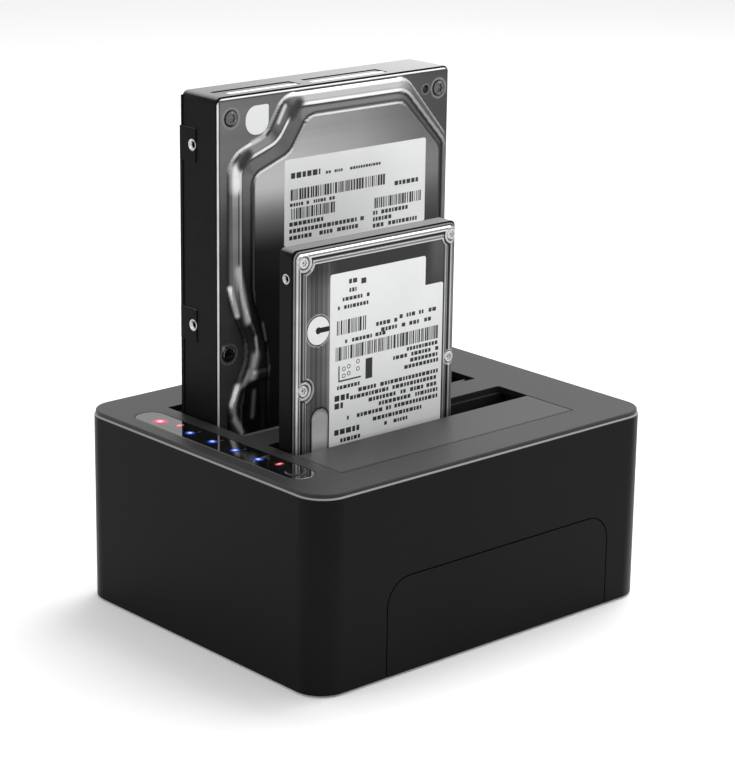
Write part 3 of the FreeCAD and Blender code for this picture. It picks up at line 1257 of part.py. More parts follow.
def drive35_screw_places():
    right = DRIVE35_WIDTH - RIGHT_SCREW_FROM_SIDE
    top = DRIVE35_LENGTH - COVER_SCREW_FROM_TOP
    return [(LEFT_SCREW_FROM_SIDE, top), (right, top), (MIDDLE_SCREW_FROM_LEFT, MIDDLE_SCREW_HEIGHT),
            (LEFT_SCREW_FROM_SIDE, COVER_SCREW_FROM_BOTTOM), (right, COVER_SCREW_FROM_BOTTOM)]


def make_drive35_cover():
    # The cover is a stamped sheet; cuts in front of it start one overlap before the drive's front.
    sheet_corners = corner_points(DRIVE35_WIDTH - 2 * DRIVE35_COVER_INSET, DRIVE35_LENGTH - 2 * DRIVE35_COVER_INSET,
                                  DRIVE35_COVER_CORNER, DRIVE35_COVER_INSET, DRIVE35_COVER_INSET)
    sheet = DRIVE35.slab(sheet_corners, DRIVE35_COVER_STEP, COVER35_BACK)
    bead = DRIVE35.slope(raised_outline(), DRIVE35_COVER_STEP, BEAD_SLOPE, 0)
    cover = joined([sheet, bead])
    valley = DRIVE35.slope(valley_outline(), 0, VALLEY_SLOPE, VALLEY_DROP)
    bridge = DRIVE35.brick(0, PLATEAU_FROM_LEFT + PLATEAU_WAIST, BRIDGE_BOTTOM, BRIDGE_TOP, 0, VALLEY_DROP)
    pot = DRIVE35.slope(pot_outline(), 0, VALLEY_SLOPE, POT_DROP)
    cover = cover.cut(valley.cut(bridge)).cut(pot)
    plateau = DRIVE35.slope(plateau_outline(), VALLEY_DROP, PLATEAU_SLOPE, PLATEAU_DROP)
    hollow = DRIVE35.slab(inset_corners(plateau_outline(), 2 * VALLEY_SLOPE), COVER35_BACK - COVER_HOLLOW,
                          COVER35_BACK)
    cover = joined([cover, plateau]).cut(hollow)
    front = -CUT_OVERLAP
    cuts = [DRIVE35.disc(u, v, SCREW_HOLE_RADIUS, front, COVER35_BACK) for u, v in drive35_screw_places()]
    cuts += [DRIVE35.disc(u, v, DRIVE35_SCREW_RADIUS + SCREW_DIMPLE_EXTRA, front,
                          DRIVE35_COVER_STEP + SCREW_DIMPLE_DEPTH) for u, v in drive35_screw_places()]
    cuts.append(DRIVE35.disc(DRIVE35_WIDTH - SMALL_HOLE_FROM_RIGHT, DRIVE35_LENGTH - SMALL_HOLE_FROM_TOP,
                             SMALL_HOLE_RADIUS, front, COVER35_BACK))
    return cut_all(cover, cuts)


def drive_screws(place, places, seat, radius, head, head_radius, length):
    screws = []
    for u, v in places:
        start = place.plane(seat)(u, v)
        screws.append(screw(radius, length, head_radius, head, start, (0, 1, 0)))
    return Part.makeCompound(screws)


def make_drive35_screws():
    seat = DRIVE35_COVER_STEP + SCREW_DIMPLE_DEPTH
    return drive_screws(DRIVE35, drive35_screw_places(), seat, SCREW_SHANK_RADIUS, DRIVE35_SCREW_HEAD,
                        DRIVE35_SCREW_RADIUS, DRIVE35_SCREW_LENGTH)


def side_hole(x, direction, y, z, radius, depth, chamfer):
    bore = rod(radius, depth, (x, y, z), (direction, 0, 0))
    mouth = Part.makeCone(radius + chamfer, radius, chamfer, Vector(x, y, z), Vector(direction, 0, 0))
    return bore.fuse(mouth)


def side_holes35():
    y = DRIVE35_BACK - DRIVE35_SIDE_HOLE_FROM_BACK
    holes = []
    for v in (DRIVE35_FIRST_SIDE_HOLE, DRIVE35_SECOND_SIDE_HOLE, DRIVE35_THIRD_SIDE_HOLE):
        z = DRIVE35_BOTTOM + v
        for x, direction in ((DRIVE35_LEFT, 1), (DRIVE35_LEFT + DRIVE35_WIDTH, -1)):
            holes.append(side_hole(x, direction, y, z, DRIVE35_HOLE_RADIUS, DRIVE35_HOLE_DEPTH, HOLE_CHAMFER))
    return holes


def plug_seat(place, tongue_depth, thickness):
    # Room in a drive's base for its connector.
    half = PLUG_WIDTH / 2 + PLUG_SEAT_CLEARANCE
    near = tongue_depth - PLUG_DEPTH / 2 - PLUG_SEAT_CLEARANCE
    return place.brick(CONNECTOR_FROM_LEFT - half, CONNECTOR_FROM_LEFT + half, -CUT_OVERLAP,
                       PLUG_HEIGHT + PLUG_SEAT_CLEARANCE, near, thickness + CUT_OVERLAP)


def end_label_corners(u):
    return (u, u + END_LABEL_LENGTH, END_LABEL_NEAR, END_LABEL_NEAR + END_LABEL_WIDTH)


def make_drive35_base():
    # The side holes stand in pads that reach the drive's full width and thickness.
    base = DRIVE35.slab(corner_points(DRIVE35_WIDTH - 2 * DRIVE35_SIDE_INSET, DRIVE35_LENGTH, DRIVE35_CORNER,
                                      DRIVE35_SIDE_INSET), COVER35_BACK, BASE35_BACK)
    pads = []
    for v in (DRIVE35_FIRST_SIDE_HOLE, DRIVE35_SECOND_SIDE_HOLE, DRIVE35_THIRD_SIDE_HOLE):
        low = v - DRIVE35_PAD_HEIGHT / 2
        for u in (0, DRIVE35_WIDTH - DRIVE35_PAD_WIDTH):
            pads.append(DRIVE35.brick(u, u + DRIVE35_PAD_WIDTH, low, low + DRIVE35_PAD_HEIGHT,
                                      DRIVE35_PAD_NEAR, DRIVE35_THICKNESS))
    base = joined([base] + pads)
    radius = DRIVE35_PLATTER_RADIUS + DRIVE35_CHAMBER_CLEARANCE
    chamber = DRIVE35.disc(*PLATTER_CENTRE, radius, COVER35_BACK, CHAMBER35_FLOOR)
    arm_room = DRIVE35.slab(corner_points(DRIVE35_WIDTH - 2 * ARM_ROOM_SIDE,
                                          ARM_ROOM_ABOVE_PIVOT + ARM_ROOM_BELOW_PIVOT, ARM_ROOM_CORNER,
                                          ARM_ROOM_SIDE, ARM_PIVOT[1] - ARM_ROOM_BELOW_PIVOT),
                            COVER35_BACK, CHAMBER35_FLOOR)
    board_room = DRIVE35.brick(DRIVE35_BOARD_SIDE, DRIVE35_WIDTH - DRIVE35_BOARD_SIDE,
                               PLUG_HEIGHT, DRIVE35_BOARD_TOP,
                               BOARD35_SEAT - DRIVE35_BOARD_GAP, DRIVE35_THICKNESS + CUT_OVERLAP)
    cuts = [chamber, arm_room, board_room, plug_seat(DRIVE35, DRIVE35_THICKNESS - TONGUE_FROM_BACK,
                                                     DRIVE35_THICKNESS)]
    cuts += side_holes35()
    cuts += [DRIVE35.disc(u, v, SCREW_HOLE_RADIUS, 0, DRIVE35_SCREW_LENGTH + 2 * COVER35_BACK)
             for u, v in drive35_screw_places()]
    for u in (FIRST_END_LABEL, SECOND_END_LABEL):
        u0, u1, near, far = end_label_corners(u)
        cuts.append(DRIVE35.brick(u0, u1, DRIVE35_LENGTH - END_LABEL_RECESS, DRIVE35_LENGTH, near, far))
    return cut_all(base, cuts)


def make_drive35_end_labels():
    labels = []
    for u in (FIRST_END_LABEL, SECOND_END_LABEL):
        u0, u1, near, far = end_label_corners(u)
        floor = DRIVE35_LENGTH - END_LABEL_RECESS
        labels.append(DRIVE35.brick(u0 + LABEL_MARGIN, u1 - LABEL_MARGIN, floor, floor + LABEL_THICKNESS,
                                    near + LABEL_MARGIN, far - LABEL_MARGIN))
    return Part.makeCompound(labels)


def make_drive35_label():
    width = DRIVE35_WIDTH - DRIVE35_LABEL_FROM_LEFT - DRIVE35_LABEL_FROM_RIGHT
    bottom = DRIVE35_LENGTH - DRIVE35_LABEL_FROM_TOP - DRIVE35_LABEL_HEIGHT
    corners = corner_points(width, DRIVE35_LABEL_HEIGHT, LABEL_CORNER, DRIVE35_LABEL_FROM_LEFT, bottom)
    return DRIVE35.slab(corners, PLATEAU_DROP - LABEL_THICKNESS, PLATEAU_DROP)


def make_drive35_seal():
    # Round but for its top right corner.
    left = SEAL_FROM_LEFT
    right = left + SEAL_SIZE
    top = DRIVE35_LENGTH - SEAL_FROM_TOP
    bottom = top - SEAL_SIZE
    corners = [(left, bottom, SEAL_RADIUS), (right, bottom, SEAL_RADIUS), (right, top, LABEL_CORNER),
               (left, top, SEAL_RADIUS)]
    return DRIVE35.slab(corners, DRIVE35_COVER_STEP - LABEL_THICKNESS, DRIVE35_COVER_STEP)


def make_drive35_board():
    return DRIVE35.brick(DRIVE35_BOARD_SIDE + BOARD_EDGE_GAP, DRIVE35_WIDTH - DRIVE35_BOARD_SIDE - BOARD_EDGE_GAP,
                         PLUG_HEIGHT, DRIVE35_BOARD_TOP - BOARD_EDGE_GAP,
                         BOARD35_SEAT, BOARD35_SEAT + DRIVE35_BOARD_THICKNESS)


def make_drive35_chips():
    # Each chip's place is measured from the drive's left side and down from the board's top.
    near = BOARD35_SEAT + DRIVE35_BOARD_THICKNESS
    far = near + CHIP_HEIGHT
    chips = []
    for (u, down), size in ((LARGE_CHIP_PLACE, LARGE_CHIP_SIZE), (MIDDLE_CHIP_PLACE, BRIDGE_CHIP_SIZE),
                            (SMALL_CHIP_PLACE, SMALL_CHIP_SIZE)):
        v = DRIVE35_BOARD_TOP - down
        chips.append(DRIVE35.brick(u, u + size, v, v + size, near, far))
    return Part.makeCompound(chips)


def make_drive35_plug():
    return make_plug(DRIVE35_BACK - TONGUE_FROM_BACK, DRIVE35_BACK, DRIVE35_BOTTOM)


def platter_levels():
    return [COVER35_BACK + PLATTER_FROM_COVER, COVER35_BACK + PLATTER_FROM_COVER + PLATTER_SPACING]


def make_drive35_platters():
    discs = []
    for near in platter_levels():
        far = near + DRIVE35_PLATTER_THICKNESS
        disc = DRIVE35.disc(*PLATTER_CENTRE, DRIVE35_PLATTER_RADIUS, near, far)
        discs.append(disc.cut(DRIVE35.disc(*PLATTER_CENTRE, DRIVE35_HUB_RADIUS + PIN_CLEARANCE, near, far)))
    return Part.makeCompound(discs)


def make_drive35_spindle():
    hub = DRIVE35.disc(*PLATTER_CENTRE, DRIVE35_HUB_RADIUS, COVER35_BACK + HUB_FROM_COVER, CHAMBER35_FLOOR)
    flange_near = platter_levels()[1] + DRIVE35_PLATTER_THICKNESS
    flange = DRIVE35.disc(*PLATTER_CENTRE, DRIVE35_HUB_RADIUS + HUB_FLANGE_EXTRA, flange_near,
                          flange_near + HUB_FLANGE_THICKNESS)
    return joined([hub, flange])


def make_drive35_actuator():
    near, far = platter_levels()
    u, v = ARM_PIVOT
    pivot = DRIVE35.disc(u, v, ARM_PIVOT_RADIUS, near - ARM_GAP - ARM_THICKNESS, CHAMBER35_FLOOR)
    pieces = [pivot]
    root = ARM_ROOT_WIDTH / 2
    tip = ARM_TIP_WIDTH / 2
    tip_u, tip_v = ARM_TIP
    corners = [(u - root, v, 0), (u + root, v, 0), (tip_u + tip, tip_v, 0), (tip_u - tip, tip_v, 0)]
    for level in (near - ARM_GAP - ARM_THICKNESS, (near + far) / 2, far + DRIVE35_PLATTER_THICKNESS + ARM_GAP):
        pieces.append(DRIVE35.slab(corners, level, level + ARM_THICKNESS))
    return joined(pieces)


# 2.5 inch drive
def drive25_screw_places():
    left = DRIVE25_LEFT_SCREW_INSET
    right = DRIVE25_WIDTH - DRIVE25_RIGHT_SCREW_INSET
    top = DRIVE25_LENGTH - DRIVE25_TOP_SCREW_INSET
    return [(left, DRIVE25_LOW_SCREW), (left, DRIVE25_MIDDLE_SCREW), (left, top), (right, top),
            (right, DRIVE25_MIDDLE_SCREW), (right, DRIVE25_LOW_SCREW)]


def drive25_cover_corners(inset):
    edge = DRIVE25_COVER_INSET + inset
    radius = max(DRIVE25_COVER_CORNER - inset / 2, DRIVE25_LEAST_CORNER)
    return corner_points(DRIVE25_WIDTH - 2 * edge, DRIVE25_LENGTH - 2 * edge - DRIVE25_COVER_FROM_END,
                         radius, edge, edge + DRIVE25_COVER_FROM_END)


def drive25_zone(inset, radius, far):
    # The cover's middle: its outline moved inwards, less a disc round the left and the top screws.
    zone = DRIVE25.slab(drive25_cover_corners(inset), 0, far)
    return zone.cut([DRIVE25.disc(u, v, radius, 0, far) for u, v in drive25_screw_places()[:4]])


def make_drive25_cover():
    sheet = DRIVE25.slab(drive25_cover_corners(0), DRIVE25_COVER_STEP, COVER25_BACK)
    ridge = DRIVE25.slab(drive25_cover_corners(DRIVE25_RIDGE_INSET), 0, DRIVE25_COVER_STEP)
    inset = DRIVE25_RIDGE_INSET + DRIVE25_RIDGE_WIDTH
    radius = DRIVE25_WELL_RADIUS + DRIVE25_ROUND_RIDGE
    groove = drive25_zone(inset, radius, DRIVE25_GROOVE_DROP).cut(
        drive25_zone(inset + DRIVE25_GROOVE_WIDTH, radius + DRIVE25_ROUND_GROOVE, DRIVE25_GROOVE_DROP))
    inset += DRIVE25_GROOVE_WIDTH + DRIVE25_RIDGE_WIDTH
    radius += DRIVE25_ROUND_GROOVE + DRIVE25_ROUND_RIDGE
    field = drive25_zone(inset, radius, DRIVE25_FIELD_DROP)
    places = drive25_screw_places()
    wells = [DRIVE25.disc(u, v, DRIVE25_WELL_RADIUS, 0, DRIVE25_COVER_STEP) for u, v in places]
    holes = [DRIVE25.disc(u, v, SCREW_HOLE_RADIUS, 0, COVER25_BACK) for u, v in places]
    pocket = DRIVE25.slab(pocket_corners(), 0, DRIVE25_FIELD_DROP + POCKET_DROP)
    spindle = DRIVE25.disc(RING_SEAL_U, RING_SEAL_V, RING_SEAL_HOLE, 0, DRIVE25_FIELD_DROP + POCKET_DROP)
    return cut_all(joined([sheet, ridge]), [groove, field, pocket, spindle] + wells + holes)


def pocket_corners():
    # A low arch beside the label, running down towards the connector end.
    right = POCKET_LEFT + POCKET_WIDTH
    return [(POCKET_LEFT, POCKET_BOTTOM, POCKET_CORNER), (right, POCKET_BOTTOM, POCKET_CORNER),
            (right, POCKET_TOP, POCKET_ARCH_RADIUS), (POCKET_LEFT, POCKET_TOP, POCKET_ARCH_RADIUS)]


def make_drive25_screws():
    return drive_screws(DRIVE25, drive25_screw_places(), DRIVE25_COVER_STEP, SCREW_SHANK_RADIUS,
                        DRIVE25_SCREW_HEAD, DRIVE25_SCREW_RADIUS, DRIVE25_SCREW_LENGTH)


def make_drive25_base():
    base = DRIVE25.slab(corner_points(DRIVE25_WIDTH, DRIVE25_LENGTH, DRIVE25_CORNER), COVER25_BACK,
                        DRIVE25_THICKNESS)
    board_room = DRIVE25.brick(DRIVE25_BOARD_SIDE, DRIVE25_WIDTH - DRIVE25_BOARD_SIDE, PLUG_HEIGHT,
                               DRIVE25_BOARD_TOP, BOARD25_SEAT - DRIVE25_BOARD_GAP, DRIVE25_THICKNESS)
    cuts = [board_room, plug_seat(DRIVE25, DRIVE25_THICKNESS - TONGUE_FROM_BACK, DRIVE25_THICKNESS)]
    y = DRIVE25_BACK - DRIVE25_HOLE_FROM_BACK
    for v in (DRIVE25_FIRST_HOLE, DRIVE25_SECOND_HOLE):
        for x, direction in ((DRIVE35_LEFT, 1), (DRIVE35_LEFT + DRIVE25_WIDTH, -1)):
            cuts.append(side_hole(x, direction, y, DRIVE25_BOTTOM + v, DRIVE25_HOLE_RADIUS, DRIVE25_HOLE_DEPTH,
                                  DRIVE25_HOLE_CHAMFER))
    cuts += [DRIVE25.disc(u, v, SCREW_HOLE_RADIUS, 0, DRIVE25_SCREW_LENGTH + COVER25_BACK)
             for u, v in drive25_screw_places()]
    return cut_all(base, cuts)


def make_drive25_label():
    # The label is notched at its upper right corner.
    left = DRIVE25_LABEL_FROM_LEFT
    right = DRIVE25_WIDTH - DRIVE25_LABEL_FROM_RIGHT
    bottom = DRIVE25_LABEL_FROM_BOTTOM
    top = DRIVE25_LENGTH - DRIVE25_LABEL_FROM_TOP
    notch_u = right - DRIVE25_NOTCH_WIDTH
    notch_v = top - DRIVE25_NOTCH_HEIGHT
    corners = [(left, bottom, LABEL_CORNER), (right, bottom, LABEL_CORNER), (right, notch_v, LABEL_CORNER),
               (notch_u, notch_v, 0), (notch_u, top, LABEL_CORNER), (left, top, LABEL_CORNER)]
    return DRIVE25.slab(corners, DRIVE25_FIELD_DROP - LABEL_THICKNESS, DRIVE25_FIELD_DROP)


def make_drive25_ring_seal():
    near = DRIVE25_FIELD_DROP - LABEL_THICKNESS
    ring = DRIVE25.disc(RING_SEAL_U, RING_SEAL_V, RING_SEAL_RADIUS, near, DRIVE25_FIELD_DROP)
    return ring.cut(DRIVE25.disc(RING_SEAL_U, RING_SEAL_V, RING_SEAL_HOLE, near, DRIVE25_FIELD_DROP))


def make_drive25_board():
    return DRIVE25.brick(DRIVE25_BOARD_SIDE + BOARD_EDGE_GAP, DRIVE25_WIDTH - DRIVE25_BOARD_SIDE - BOARD_EDGE_GAP,
                         PLUG_HEIGHT, DRIVE25_BOARD_TOP - BOARD_EDGE_GAP, BOARD25_SEAT,
                         BOARD25_SEAT + DRIVE25_BOARD_THICKNESS)


def make_drive25_plug():
    return make_plug(DRIVE25_BACK - TONGUE_FROM_BACK, DRIVE25_BACK, DRIVE25_BOTTOM)


PARTS = {
    "housing_shell": make_housing_shell,
    "front_panel": make_front_panel,
    "top_plate": make_top_plate,
    "base_plate": make_base_plate,
    "rubber_feet": make_rubber_feet,
    "housing_screws": make_housing_screws,
    "bay_frame_front": lambda: make_bay_frame(FRONT_BAY_FRONT, FRONT_BAY_LENGTH, DRIVE25_BOTTOM,
                                              DRIVE25_BACK - TONGUE_FROM_BACK, front_rib_places()),
    "bay_frame_rear": lambda: make_bay_frame(REAR_BAY_FRONT, REAR_BAY_LENGTH, DRIVE35_BOTTOM,
                                             DRIVE35_BACK - TONGUE_FROM_BACK, rear_rib_places()),
    "flap_front": make_flap_front,
    "flap_rear": make_flap_rear,
    "flap_front_pin": lambda: make_flap_pin(FRONT_BAY_FRONT),
    "flap_rear_pin": lambda: make_flap_pin(REAR_BAY_FRONT),
    "flap_front_spring": lambda: make_flap_spring(FRONT_BAY_FRONT),
    "flap_rear_spring": lambda: make_flap_spring(REAR_BAY_FRONT),
    "indicator_window": make_indicator_window,
    "power_led": make_power_led,
    "progress_leds": make_progress_leds,
    "dash_leds": make_dash_leds,
    "clone_button": make_clone_button,
    "button_plunger": make_button_plunger,
    "key_switch": make_key_switch,
    "indicator_board": make_indicator_board,
    "indicator_screws": make_indicator_screws,
    "ribbon_plugs": make_ribbon_plugs,
    "ribbon_cable": make_ribbon_cable,
    "main_board": make_main_board,
    "board_screws": make_board_screws,
    "board_chips": make_board_chips,
    "board_capacitors": make_board_capacitors,
    "socket_front": lambda: make_socket(DRIVE25_BACK - TONGUE_FROM_BACK, DRIVE25_BOTTOM),
    "socket_rear": lambda: make_socket(DRIVE35_BACK - TONGUE_FROM_BACK, DRIVE35_BOTTOM),
    "usb_port": make_usb_port,
    "dc_jack": make_dc_jack,
    "power_switch_body": make_power_switch_body,
    "power_rocker": make_power_rocker,
    "drive35_base": make_drive35_base,
    "drive35_cover": make_drive35_cover,
    "drive35_cover_screws": make_drive35_screws,
    "drive35_label": make_drive35_label,
    "drive35_seal": make_drive35_seal,
    "drive35_end_labels": make_drive35_end_labels,
    "drive35_board": make_drive35_board,
    "drive35_chips": make_drive35_chips,
    "drive35_plug": make_drive35_plug,
    "drive35_platters": make_drive35_platters,
    "drive35_spindle": make_drive35_spindle,
    "drive35_actuator": make_drive35_actuator,
    "drive25_base": make_drive25_base,
    "drive25_cover": make_drive25_cover,
    "drive25_cover_screws": make_drive25_screws,
    "drive25_label": make_drive25_label,
    "drive25_ring_seal": make_drive25_ring_seal,
    "drive25_board": make_drive25_board,
    "drive25_plug": make_drive25_plug,
}


os.makedirs("parts", exist_ok=True)
for name, make in PARTS.items():
    write(name, make())
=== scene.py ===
import json
import math
import random

import bpy
import numpy as np
from mathutils import Matrix, Vector


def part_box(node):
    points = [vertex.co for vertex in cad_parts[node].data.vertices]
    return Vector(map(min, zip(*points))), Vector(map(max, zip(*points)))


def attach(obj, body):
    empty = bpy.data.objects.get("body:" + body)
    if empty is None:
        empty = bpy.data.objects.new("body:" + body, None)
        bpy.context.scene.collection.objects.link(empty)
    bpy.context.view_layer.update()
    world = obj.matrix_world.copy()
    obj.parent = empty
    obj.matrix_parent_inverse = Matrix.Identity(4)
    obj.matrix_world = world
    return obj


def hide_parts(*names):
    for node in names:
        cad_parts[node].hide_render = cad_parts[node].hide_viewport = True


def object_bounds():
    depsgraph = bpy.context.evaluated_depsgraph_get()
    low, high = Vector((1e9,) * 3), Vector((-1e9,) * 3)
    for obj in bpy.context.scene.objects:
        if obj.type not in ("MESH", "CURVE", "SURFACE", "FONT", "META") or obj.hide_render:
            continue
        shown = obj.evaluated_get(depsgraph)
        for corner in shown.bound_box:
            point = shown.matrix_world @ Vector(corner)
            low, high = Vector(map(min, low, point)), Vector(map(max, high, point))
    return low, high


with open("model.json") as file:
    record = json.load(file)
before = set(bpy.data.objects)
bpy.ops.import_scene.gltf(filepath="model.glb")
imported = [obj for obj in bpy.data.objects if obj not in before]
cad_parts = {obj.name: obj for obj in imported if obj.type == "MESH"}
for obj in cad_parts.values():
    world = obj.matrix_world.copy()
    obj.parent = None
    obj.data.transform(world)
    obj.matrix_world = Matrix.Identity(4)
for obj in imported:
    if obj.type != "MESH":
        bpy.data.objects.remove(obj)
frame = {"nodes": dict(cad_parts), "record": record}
cad_low, cad_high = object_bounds()
NODES = frame["nodes"]
MM = 0.001

# Camera of the photograph, solved from the drives' standard outlines
CAMERA_PLACE = (-0.54918, -0.61079, 0.32255)
CAMERA_RIGHT = (0.74646189, -0.66528687, 0.01371213)
CAMERA_UP = (0.18267965, 0.22469704, 0.9571517)
CAMERA_BACK = (-0.63986153, -0.71197235, 0.28926216)
CAMERA_LENS = 119.854
CAMERA_SENSOR = 36.0

# Studio
FLOOR_SIZE = 12.0
WORLD_FILL = 0.72
FLOOR_LIFT = 0.12
TOP_LIGHT_POWER = 9.0
LEFT_LIGHT_POWER = 1.5
RIGHT_LIGHT_POWER = 2.0


# Helpers for node trees
class NodeTree:
    def __init__(self, owner):
        owner.use_nodes = True
        self.nodes = owner.node_tree.nodes
        self.links = owner.node_tree.links

    def add(self, kind, **values):
        node = self.nodes.new(kind)
        for key, value in values.items():
            setattr(node, key, value)
        return node

    def put(self, value, target):
        # Links another node's output, or sets a constant.
        if isinstance(value, bpy.types.NodeSocket):
            self.links.new(value, target)
        else:
            target.default_value = value

    def place(self, stretch=(1, 1, 1)):
        coordinates = self.add("ShaderNodeTexCoord")
        mapping = self.add("ShaderNodeMapping")
        mapping.inputs["Scale"].default_value = stretch
        self.put(coordinates.outputs["Object"], mapping.inputs["Vector"])
        return mapping.outputs["Vector"]

    def noise(self, scale, detail=3.0, stretch=(1, 1, 1)):
        texture = self.add("ShaderNodeTexNoise")
        texture.inputs["Scale"].default_value = scale
        texture.inputs["Detail"].default_value = detail
        self.put(self.place(stretch), texture.inputs["Vector"])
        return texture.outputs["Fac"]

    def ramp(self, value, low, high, colours):
        ramp = self.add("ShaderNodeValToRGB")
        for stop, position, colour in zip(ramp.color_ramp.elements, (low, high), colours):
            stop.position = position
            stop.color = (*colour, 1)
        self.put(value, ramp.inputs["Fac"])
        return ramp.outputs["Color"]

    def spread(self, value, start, end, low, high, blend="LINEAR"):
        # Carries the stretch from start to end over to the stretch from low to high.
        node = self.add("ShaderNodeMapRange", interpolation_type=blend)
        for socket, number in (("From Min", start), ("From Max", end), ("To Min", low), ("To Max", high)):
            node.inputs[socket].default_value = number
        self.put(value, node.inputs["Value"])
        return node.outputs["Result"]

    def between(self, value, low, high):
        return self.spread(value, 0, 1, low, high)

    def reach(self, kind, axis, start, end, blend="SMOOTHSTEP"):
        # From 0 to 1 along one axis, of the place (Object) or of the way that the surface faces (Normal).
        coordinates = self.add("ShaderNodeTexCoord")
        parts = self.add("ShaderNodeSeparateXYZ")
        self.put(coordinates.outputs[kind], parts.inputs["Vector"])
        return self.spread(parts.outputs[axis], start, end, 0, 1, blend)

    def mix(self, share, first, second, blend="MIX"):
        node = self.add("ShaderNodeMix", data_type="RGBA", blend_type=blend)
        for socket, value in (("Factor", share), ("A", first), ("B", second)):
            self.put(value, node.inputs[socket])
        return node.outputs["Result"]

    def count(self, operation, first, second, kind="ShaderNodeMath", result="Value"):
        node = self.add(kind, operation=operation)
        self.put(first, node.inputs[0])
        self.put(second, node.inputs[1])
        return node.outputs[result]

    def distance(self, place):
        coordinates = self.add("ShaderNodeTexCoord")
        return self.count("DISTANCE", coordinates.outputs["Object"], place, "ShaderNodeVectorMath")


class Material(NodeTree):
    def __init__(self, name):
        self.material = bpy.data.materials.new(name)
        super().__init__(self.material)
        self.shader = self.nodes["Principled BSDF"]

    def set(self, **values):
        for socket, value in values.items():
            self.shader.inputs[socket.replace("_", " ")].default_value = value

    def feed(self, socket, source):
        self.links.new(source, self.shader.inputs[socket])

    def bump(self, value, strength, distance):
        node = self.add("ShaderNodeBump")
        node.inputs["Strength"].default_value = strength
        node.inputs["Distance"].default_value = distance
        self.put(value, node.inputs["Height"])
        self.feed("Normal", node.outputs["Normal"])


def scaled(colour, share):
    return tuple(min(channel * share, 1.0) for channel in colour)


def moulded_plastic(name, colour, roughness, grain=1500.0, depth=0.00002, specular=0.5, uneven=(0.9, 1.12),
                    bands=()):
    # Fine spark-eroded grain with a slight unevenness in colour and gloss.
    # A band picks out an edge with painted light and shade: its kind of coordinate and axis, where it begins
    # and is full, and its colour.
    made = Material(name)
    grains = made.noise(grain, 4.0)
    patches = made.noise(18.0, 3.0)
    result = made.ramp(patches, 0.35, 0.7, (scaled(colour, uneven[0]), scaled(colour, uneven[1])))
    for kind, axis, start, end, tint in bands:
        result = made.mix(made.reach(kind, axis, start, end), result, (*tint, 1))
    made.feed("Base Color", result)
    made.feed("Roughness", made.between(grains, roughness - 0.05, roughness + 0.06))
    made.bump(grains, 0.25, depth)
    made.set(Specular_IOR_Level=specular)
    return made.material


def banded_plastic(name, colour, specular, bands):
    return moulded_plastic(name, colour, 0.42, specular=specular, uneven=(0.94, 1.06), bands=bands)


def brushed_metal(name, colour, roughness, stretch):
    # Long fine scratches: noise drawn out along the brushing.
    made = Material(name)
    lines = made.noise(900.0, 6.0, stretch)
    wide = made.noise(150.0, 3.0, stretch)
    clouds = made.noise(14.0, 2.0)
    made.feed("Base Color", made.ramp(wide, 0.3, 0.7, (scaled(colour, 0.82), scaled(colour, 1.1))))
    rough = made.count("ADD", made.between(lines, roughness - 0.06, roughness + 0.1),
                       made.between(clouds, -0.03, 0.05))
    made.feed("Roughness", rough)
    made.bump(lines, 0.3, 0.00001)
    made.set(Metallic=1.0)
    return made.material


def cast_paint(name, colour, roughness, depth, end_sheen_colours):
    # Painted casting: orange peel over a fine sandy surface; its upper end is lighter, with a painted sheen
    # that grows along X.
    made = Material(name)
    sand = made.noise(1400.0, 5.0)
    peel = made.noise(420.0, 2.0)
    paint = made.ramp(peel, 0.3, 0.75, (scaled(colour, 0.8), scaled(colour, 1.35)))
    along = made.reach("Object", "X", cad_low[0], cad_high[0], "LINEAR")
    end_sheen = made.ramp(along, 0.15, 0.85, end_sheen_colours)
    made.feed("Base Color", made.mix(made.reach("Normal", "Z", 0.55, 0.9), paint, end_sheen))
    made.feed("Roughness", made.between(sand, roughness - 0.08, roughness + 0.1))
    made.bump(sand, 0.35, depth)
    made.set(Specular_IOR_Level=0.08)
    return made.material


def paper_label(name, colour):
    made = Material(name)
    fibres = made.noise(2200.0, 6.0)
    stains = made.noise(45.0, 3.0)
    made.feed("Base Color", made.ramp(stains, 0.3, 0.75, (scaled(colour, 0.93), colour)))
    made.feed("Roughness", made.between(fibres, 0.42, 0.6))
    made.bump(fibres, 0.15, 0.00001)
    return made.material


def circuit_board(name):
    made = Material(name)
    tracks = made.add("ShaderNodeTexBrick")
    tracks.inputs["Scale"].default_value = 160.0
    tracks.inputs["Color1"].default_value = (0.010, 0.085, 0.035, 1)
    tracks.inputs["Color2"].default_value = (0.014, 0.11, 0.05, 1)
    tracks.inputs["Mortar"].default_value = (0.02, 0.16, 0.075, 1)
    tracks.inputs["Mortar Size"].default_value = 0.03
    made.put(made.place(), tracks.inputs["Vector"])
    made.feed("Base Color", tracks.outputs["Color"])
    made.feed("Roughness", made.between(made.noise(700.0), 0.25, 0.4))
    made.bump(tracks.outputs["Fac"], 0.2, 0.00003)
    return made.material


def grey(value):
    # A display grey from 0 to 255 as a linear colour channel.
    share = np.clip(np.asarray(value, float) / 255.0, 0.0, 1.0)
    return np.where(share <= 0.04045, share / 12.92, ((share + 0.055) / 1.055) ** 2.4)


